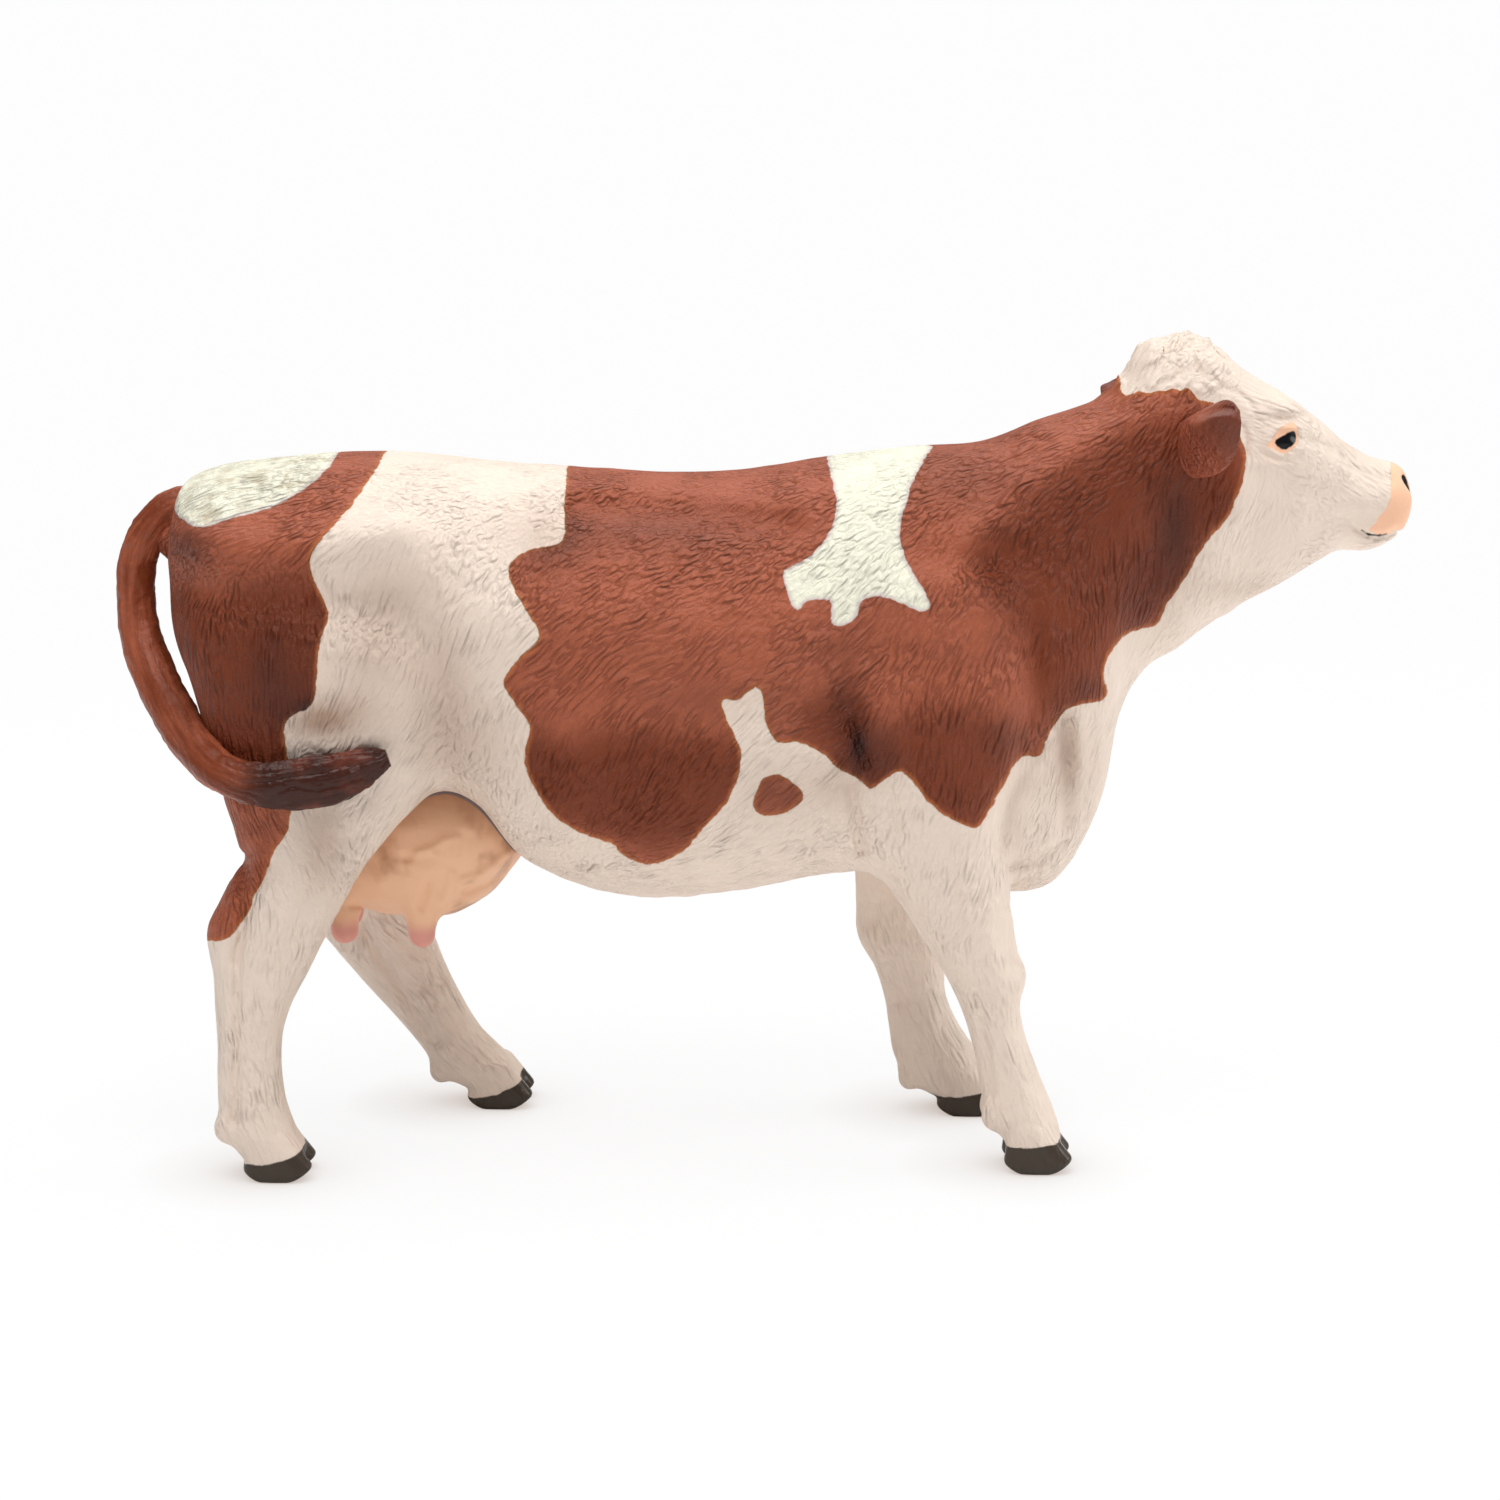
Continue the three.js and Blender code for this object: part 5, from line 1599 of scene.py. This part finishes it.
def skin_mesh(rings):
    """Corners and mesh of a closed skin over rings, with a corner in the middle of each end, facing out."""
    count, sides = rings.shape[:2]
    index = np.arange(count * sides).reshape(count, sides)
    turned = np.roll(index, -1, axis=1)
    quads = np.stack((index[:-1], turned[:-1], turned[1:], index[1:]), -1).reshape(-1, 4)
    points = np.vstack((rings.reshape(-1, 3), rings[0].mean(0), rings[-1].mean(0)))
    first = np.stack((turned[0], index[0], np.full(sides, count * sides)), 1)
    last = np.stack((index[-1], turned[-1], np.full(sides, count * sides + 1)), 1)
    mesh = bpy.data.meshes.new("skin")
    mesh.from_pydata(points, [], quads.tolist() + first.tolist() + last.tolist())
    work = bmesh.new()
    work.from_mesh(mesh)
    bmesh.ops.recalc_face_normals(work, faces=work.faces)
    work.to_mesh(mesh)
    work.free()
    return points, mesh


TAIL_STEPS = 24
TAIL_SIDES = 120
# The straightened tail that its noise is laid out on, and how far streaks of paint are drawn out along it
TAIL_LENGTH = 70
TAIL_RADIUS = 2.2
STREAK_STRETCH = (0.12, 1, 1)
# Noise over the tail, and the locks of the switch: where it starts, their number, depth and wandering
TAIL_GRAINS = ((0.05, 1.5, 31), (0.035, 0.7, 32))
SWITCH_START = (0.62, 0.72)
LOCKS = 10
LOCK_DEPTH = 0.16
LOCK_MEAN = 0.7
LOCK_WANDER = (0.9, 1.6, 33)
LOCK_STRETCH = (0.5, 1, 1)


def tail_places(along, turn):
    """Places on the straightened tail, in millimetres, for noise that runs along it."""
    angle = 2 * np.pi * turn
    rings = (TAIL_LENGTH * along, TAIL_RADIUS * np.cos(angle), TAIL_RADIUS * np.sin(angle))
    return np.stack(rings, -1).reshape(-1, 3)


def tail_swell(along, turn):
    """Noise over the tail, and on the switch locks that wander as they run along it, with sharp grooves.

    The locks are the root of a sine of the turn without its sign, so many to a turn.
    """
    places = tail_places(along, turn)
    rough = sum(grain(places, *row) for row in TAIL_GRAINS).reshape(along.shape)
    wander = grain(places * LOCK_STRETCH, *LOCK_WANDER).reshape(along.shape)
    locks = np.sqrt(np.abs(np.sin(np.pi * (LOCKS * turn + wander)))) - LOCK_MEAN
    return 1 + LOCK_DEPTH * ease(*SWITCH_START, along) * locks + rough


class CowTail(bpy.types.Operator):
    """Builds the tail with its switch."""

    bl_idname = "cow.tail"
    bl_label = "Tail"

    def execute(self, context):
        rings, along, turn = tube(TAIL_STATIONS, TAIL_STEPS, TAIL_SIDES, tail_swell)
        points, mesh = skin_mesh(rings)
        store(mesh, "along", np.append(along.ravel(), (0.0, 1.0)))
        streak = tail_places(along, turn) * STREAK_STRETCH
        store(mesh, "streak", np.vstack((streak, streak[:1], streak[-1:])))
        piece = finish_mesh(mesh, points, "tail_moulding")
        give(piece, tail_material(context.scene.cow_paints), "tail")
        return {"FINISHED"}


EAR_STEPS = 16
EAR_SIDES = 120
# Ridge of the ear's back: height, place at the tip, shift to the upper edge at the root between two places
# along the ear, reach above and below it, rounding of its crest, and places where it comes and goes
RIDGE_HEIGHT = 1.3
RIDGE_TIP_PLACE = 0.2
RIDGE_SHIFT = (0.8, 0.8, 0.25)
RIDGE_ABOVE = 0.7
RIDGE_BELOW = 1.3
RIDGE_CREST = 0.003
RIDGE_COMES = (0.1, 0.4)
RIDGE_GOES = (1.05, 0.9)
# Dent between ridge and edge: depth, place, reach, and places along where it comes and goes
DENT_DEPTH = 0.8
DENT_PLACE = 0.62
DENT_REACH = 0.2
DENT_COMES = (0.55, 0.8)
DENT_GOES = (1, 0.94)
EAR_BACK = (0, -0.5)
CUP_LEVEL = 0.5


def ear_rings(side):
    """Rings of a cupped leaf, and each corner's place along it: ellipses from root to tip, bent to a cup.

    The back is a roof: its ridge runs from the upper edge down to the middle at the tip. There is a dent
    between ridge and edge at the tip.
    """
    places = np.array((EAR_ROOT, EAR_TIP, EAR_FACING), float) * (1, side, 1)
    root, tip, facing = places
    tip[2] -= EAR_DROOP[side]
    axis = (tip - root) / np.linalg.norm(tip - root)
    facing -= axis * (facing @ axis)
    facing /= np.linalg.norm(facing)
    across = np.cross(axis, facing)
    across *= np.sign(across[2])
    curve = curve_through(EAR_STATIONS, EAR_STEPS)
    angle = 2 * np.pi * np.arange(EAR_SIDES) / EAR_SIDES
    wide, thick = np.cos(angle)[None, :, None], np.sin(angle)[None, :, None]
    along, half_width, thickness, hollow = (curve[:, c][:, None, None] for c in range(4))
    past = wide - RIDGE_TIP_PLACE - rise(RIDGE_SHIFT, along)
    past = np.where(past > 0, past / RIDGE_ABOVE, -past / RIDGE_BELOW)
    ridge = RIDGE_HEIGHT * np.clip(1 - np.sqrt(past * past + RIDGE_CREST), 0, 1)
    ridge = ridge * ease(*RIDGE_COMES, along) * ease(*RIDGE_GOES, along)
    dent = DENT_DEPTH * bell((wide - DENT_PLACE) / DENT_REACH)
    dent = dent * ease(*DENT_COMES, along) * ease(*DENT_GOES, along)
    rings = root + (tip - root) * along + across * half_width * wide
    rings = rings + facing * (thickness / 2 * thick + hollow * (wide * wide - CUP_LEVEL))
    rings = rings + facing * (dent - ridge) * ease(*EAR_BACK, thick)
    cosine, sine = math.cos(HEAD_TURN), math.sin(HEAD_TURN)
    x, y, z = rings[..., 0], rings[..., 1], rings[..., 2]
    rings = np.stack((POLL[0] + x * cosine - y * sine, POLL[1] + x * sine + y * cosine, z), -1)
    return rings, np.repeat(curve[:, 0], EAR_SIDES)


class CowEars(bpy.types.Operator):
    """Builds the two ears."""

    bl_idname = "cow.ears"
    bl_label = "Ears"

    def execute(self, context):
        material = ear_material(context.scene.cow_paints)
        for name, side in (("right_ear", RIGHT), ("left_ear", LEFT)):
            rings, along = ear_rings(side)
            points, mesh = skin_mesh(rings)
            store(mesh, "along", np.append(along, (0.0, 1.0)))
            piece = finish_mesh(mesh, points, name + "_moulding")
            give(piece, material, name)
        return {"FINISHED"}


# Studio, in metres: place and diameter of each light, and the floor, which glows to the camera
LIGHTS = {
    "key": ((-0.05, -0.35, 0.7), 0.6),
    "top": ((-0.05, 0.06, 0.75), 0.75),
    "back": ((0, 0.5, 0.6), 0.6),
    "front": ((0.8, 0.1, 0.4), 0.5),
}
NEAREST_SEEN = 0.01
FLOOR_HALF = 3.0
FLOOR_ROUGHNESS = 0.9
FLOOR_GLOW = 0.985
SHADE_REACH = 0.011
GLOW_SHARE = 0.88
GLOW_EDGE = (0.12, 0.4)


def floor_material(studio):
    """Pale floor that the camera sees mostly as an even glow, with a painted contact shadow close under the
    hooves.
    """
    material, tree, shader = new_material("floor")
    shader.inputs["Base Color"].default_value = (*linear(studio.floor), 1)
    shader.inputs["Roughness"].default_value = FLOOR_ROUGHNESS
    away = vector_calc(tree, "LENGTH", Vector=object_place(tree))["Value"]
    seen = add(tree, "ShaderNodeLightPath").outputs["Is Camera Ray"]
    # Painted contact shadow: the glow turns to the floor shade where ambient occlusion finds a hoof close
    clear = add(tree, "ShaderNodeAmbientOcclusion", None, Distance=SHADE_REACH).outputs["AO"]
    glow = mixed(tree, clear, studio.floor_shade, (1, 1, 1))
    lit = add(tree, "ShaderNodeEmission", None, Color=glow, Strength=FLOOR_GLOW).outputs[0]
    far_off = step_between(tree, away, *GLOW_EDGE)
    share = calc(tree, "MULTIPLY", seen, calc(tree, "MULTIPLY_ADD", far_off, 1 - GLOW_SHARE, GLOW_SHARE))
    both = add(tree, "ShaderNodeMixShader", None, i0=share, i1=shader.outputs[0], i2=lit)
    tree.links.new(both.outputs[0], tree.nodes["Material Output"].inputs["Surface"])
    return material


class CowStudioSet(bpy.types.Operator):
    """Builds the floor, the lights and the camera."""

    bl_idname = "cow.studio"
    bl_label = "Studio"

    def execute(self, context):
        scene = context.scene
        studio = scene.cow_studio
        self.floor(scene, studio)
        for name, (place, size) in LIGHTS.items():
            self.light(scene, f"{name} light", place, size, getattr(studio, f"{name}_power"))
        self.room(scene, studio.sky)
        self.camera(scene)
        scene.view_settings.view_transform = "Standard"
        return {"FINISHED"}

    @staticmethod
    def floor(scene, studio):
        """A square floor."""
        mesh = bpy.data.meshes.new("floor")
        corners = [(x * FLOOR_HALF, y * FLOOR_HALF, 0) for x, y in ((-1, -1), (1, -1), (1, 1), (-1, 1))]
        mesh.from_pydata(corners, [], [(0, 1, 2, 3)])
        mesh.materials.append(floor_material(studio))
        floor = bpy.data.objects.new("floor", mesh)
        scene.collection.objects.link(floor)

    @staticmethod
    def light(scene, name, place, size, power):
        """A round soft light, aimed at the cow."""
        data = bpy.data.lights.new(name, "AREA")
        data.shape = "DISK"
        data.size = size
        data.energy = power
        lamp = bpy.data.objects.new(name, data)
        lamp.location = place
        aim = Vector(TARGET * METRES) - lamp.location
        lamp.rotation_euler = aim.to_track_quat("-Z", "Y").to_euler()
        scene.collection.objects.link(lamp)

    @staticmethod
    def room(scene, sky):
        """A room that the camera sees as white, and that lights the cow with the strength of the sky."""
        world = bpy.data.worlds.new("room")
        world.use_nodes = True
        tree = world.node_tree
        backdrop = tree.nodes["Background"]
        backdrop.inputs["Color"].default_value = (1, 1, 1, 1)
        seen = add(tree, "ShaderNodeLightPath").outputs["Is Camera Ray"]
        tree.links.new(calc(tree, "MULTIPLY_ADD", seen, 1.0 - sky, sky), backdrop.inputs["Strength"])
        scene.world = world

    @staticmethod
    def camera(scene):
        """The camera of the side view."""
        data = bpy.data.cameras.new("side camera")
        data.sensor_width = SENSOR_WIDTH
        data.lens = FOCAL_UNITS / VIEW_UNITS * SENSOR_WIDTH
        data.clip_start = NEAREST_SEEN
        camera = bpy.data.objects.new("side camera", data)
        camera.location = EYE * METRES
        camera.rotation_euler = Vector(TARGET - EYE).to_track_quat("-Z", "Y").to_euler()
        scene.collection.objects.link(camera)
        scene.camera = camera


class CowPanel(bpy.types.Panel):
    """Paints, studio and the buttons that build each piece."""

    bl_idname = "COW_PT_figurine"
    bl_label = "Cow figurine"
    bl_space_type = "VIEW_3D"
    bl_region_type = "UI"
    bl_category = "Cow"

    def draw(self, context):
        for group in (context.scene.cow_paints, context.scene.cow_studio):
            for key in group.__annotations__:
                self.layout.prop(group, key)
        for operator in PIECES:
            self.layout.operator(operator.bl_idname)


PIECES = (CowTrunk, CowHead, CowLegs, CowUdder, CowTail, CowEars, CowStudioSet)
CLASSES = (CowPaints, CowStudio, *PIECES, CowPanel)


def register():
    """Makes the classes known to Blender."""
    for cls in CLASSES:
        bpy.utils.register_class(cls)
    bpy.types.Scene.cow_paints = bpy.props.PointerProperty(type=CowPaints)
    bpy.types.Scene.cow_studio = bpy.props.PointerProperty(type=CowStudio)


def unregister():
    """Takes the classes out again."""
    del bpy.types.Scene.cow_studio
    del bpy.types.Scene.cow_paints
    for cls in reversed(CLASSES):
        bpy.utils.unregister_class(cls)


def main():
    """Builds the studio and each piece."""
    register()
    bpy.ops.cow.studio()
    bpy.ops.cow.trunk()
    bpy.ops.cow.head()
    bpy.ops.cow.legs()
    bpy.ops.cow.udder()
    bpy.ops.cow.tail()
    bpy.ops.cow.ears()


if __name__ == "__main__":
    main()
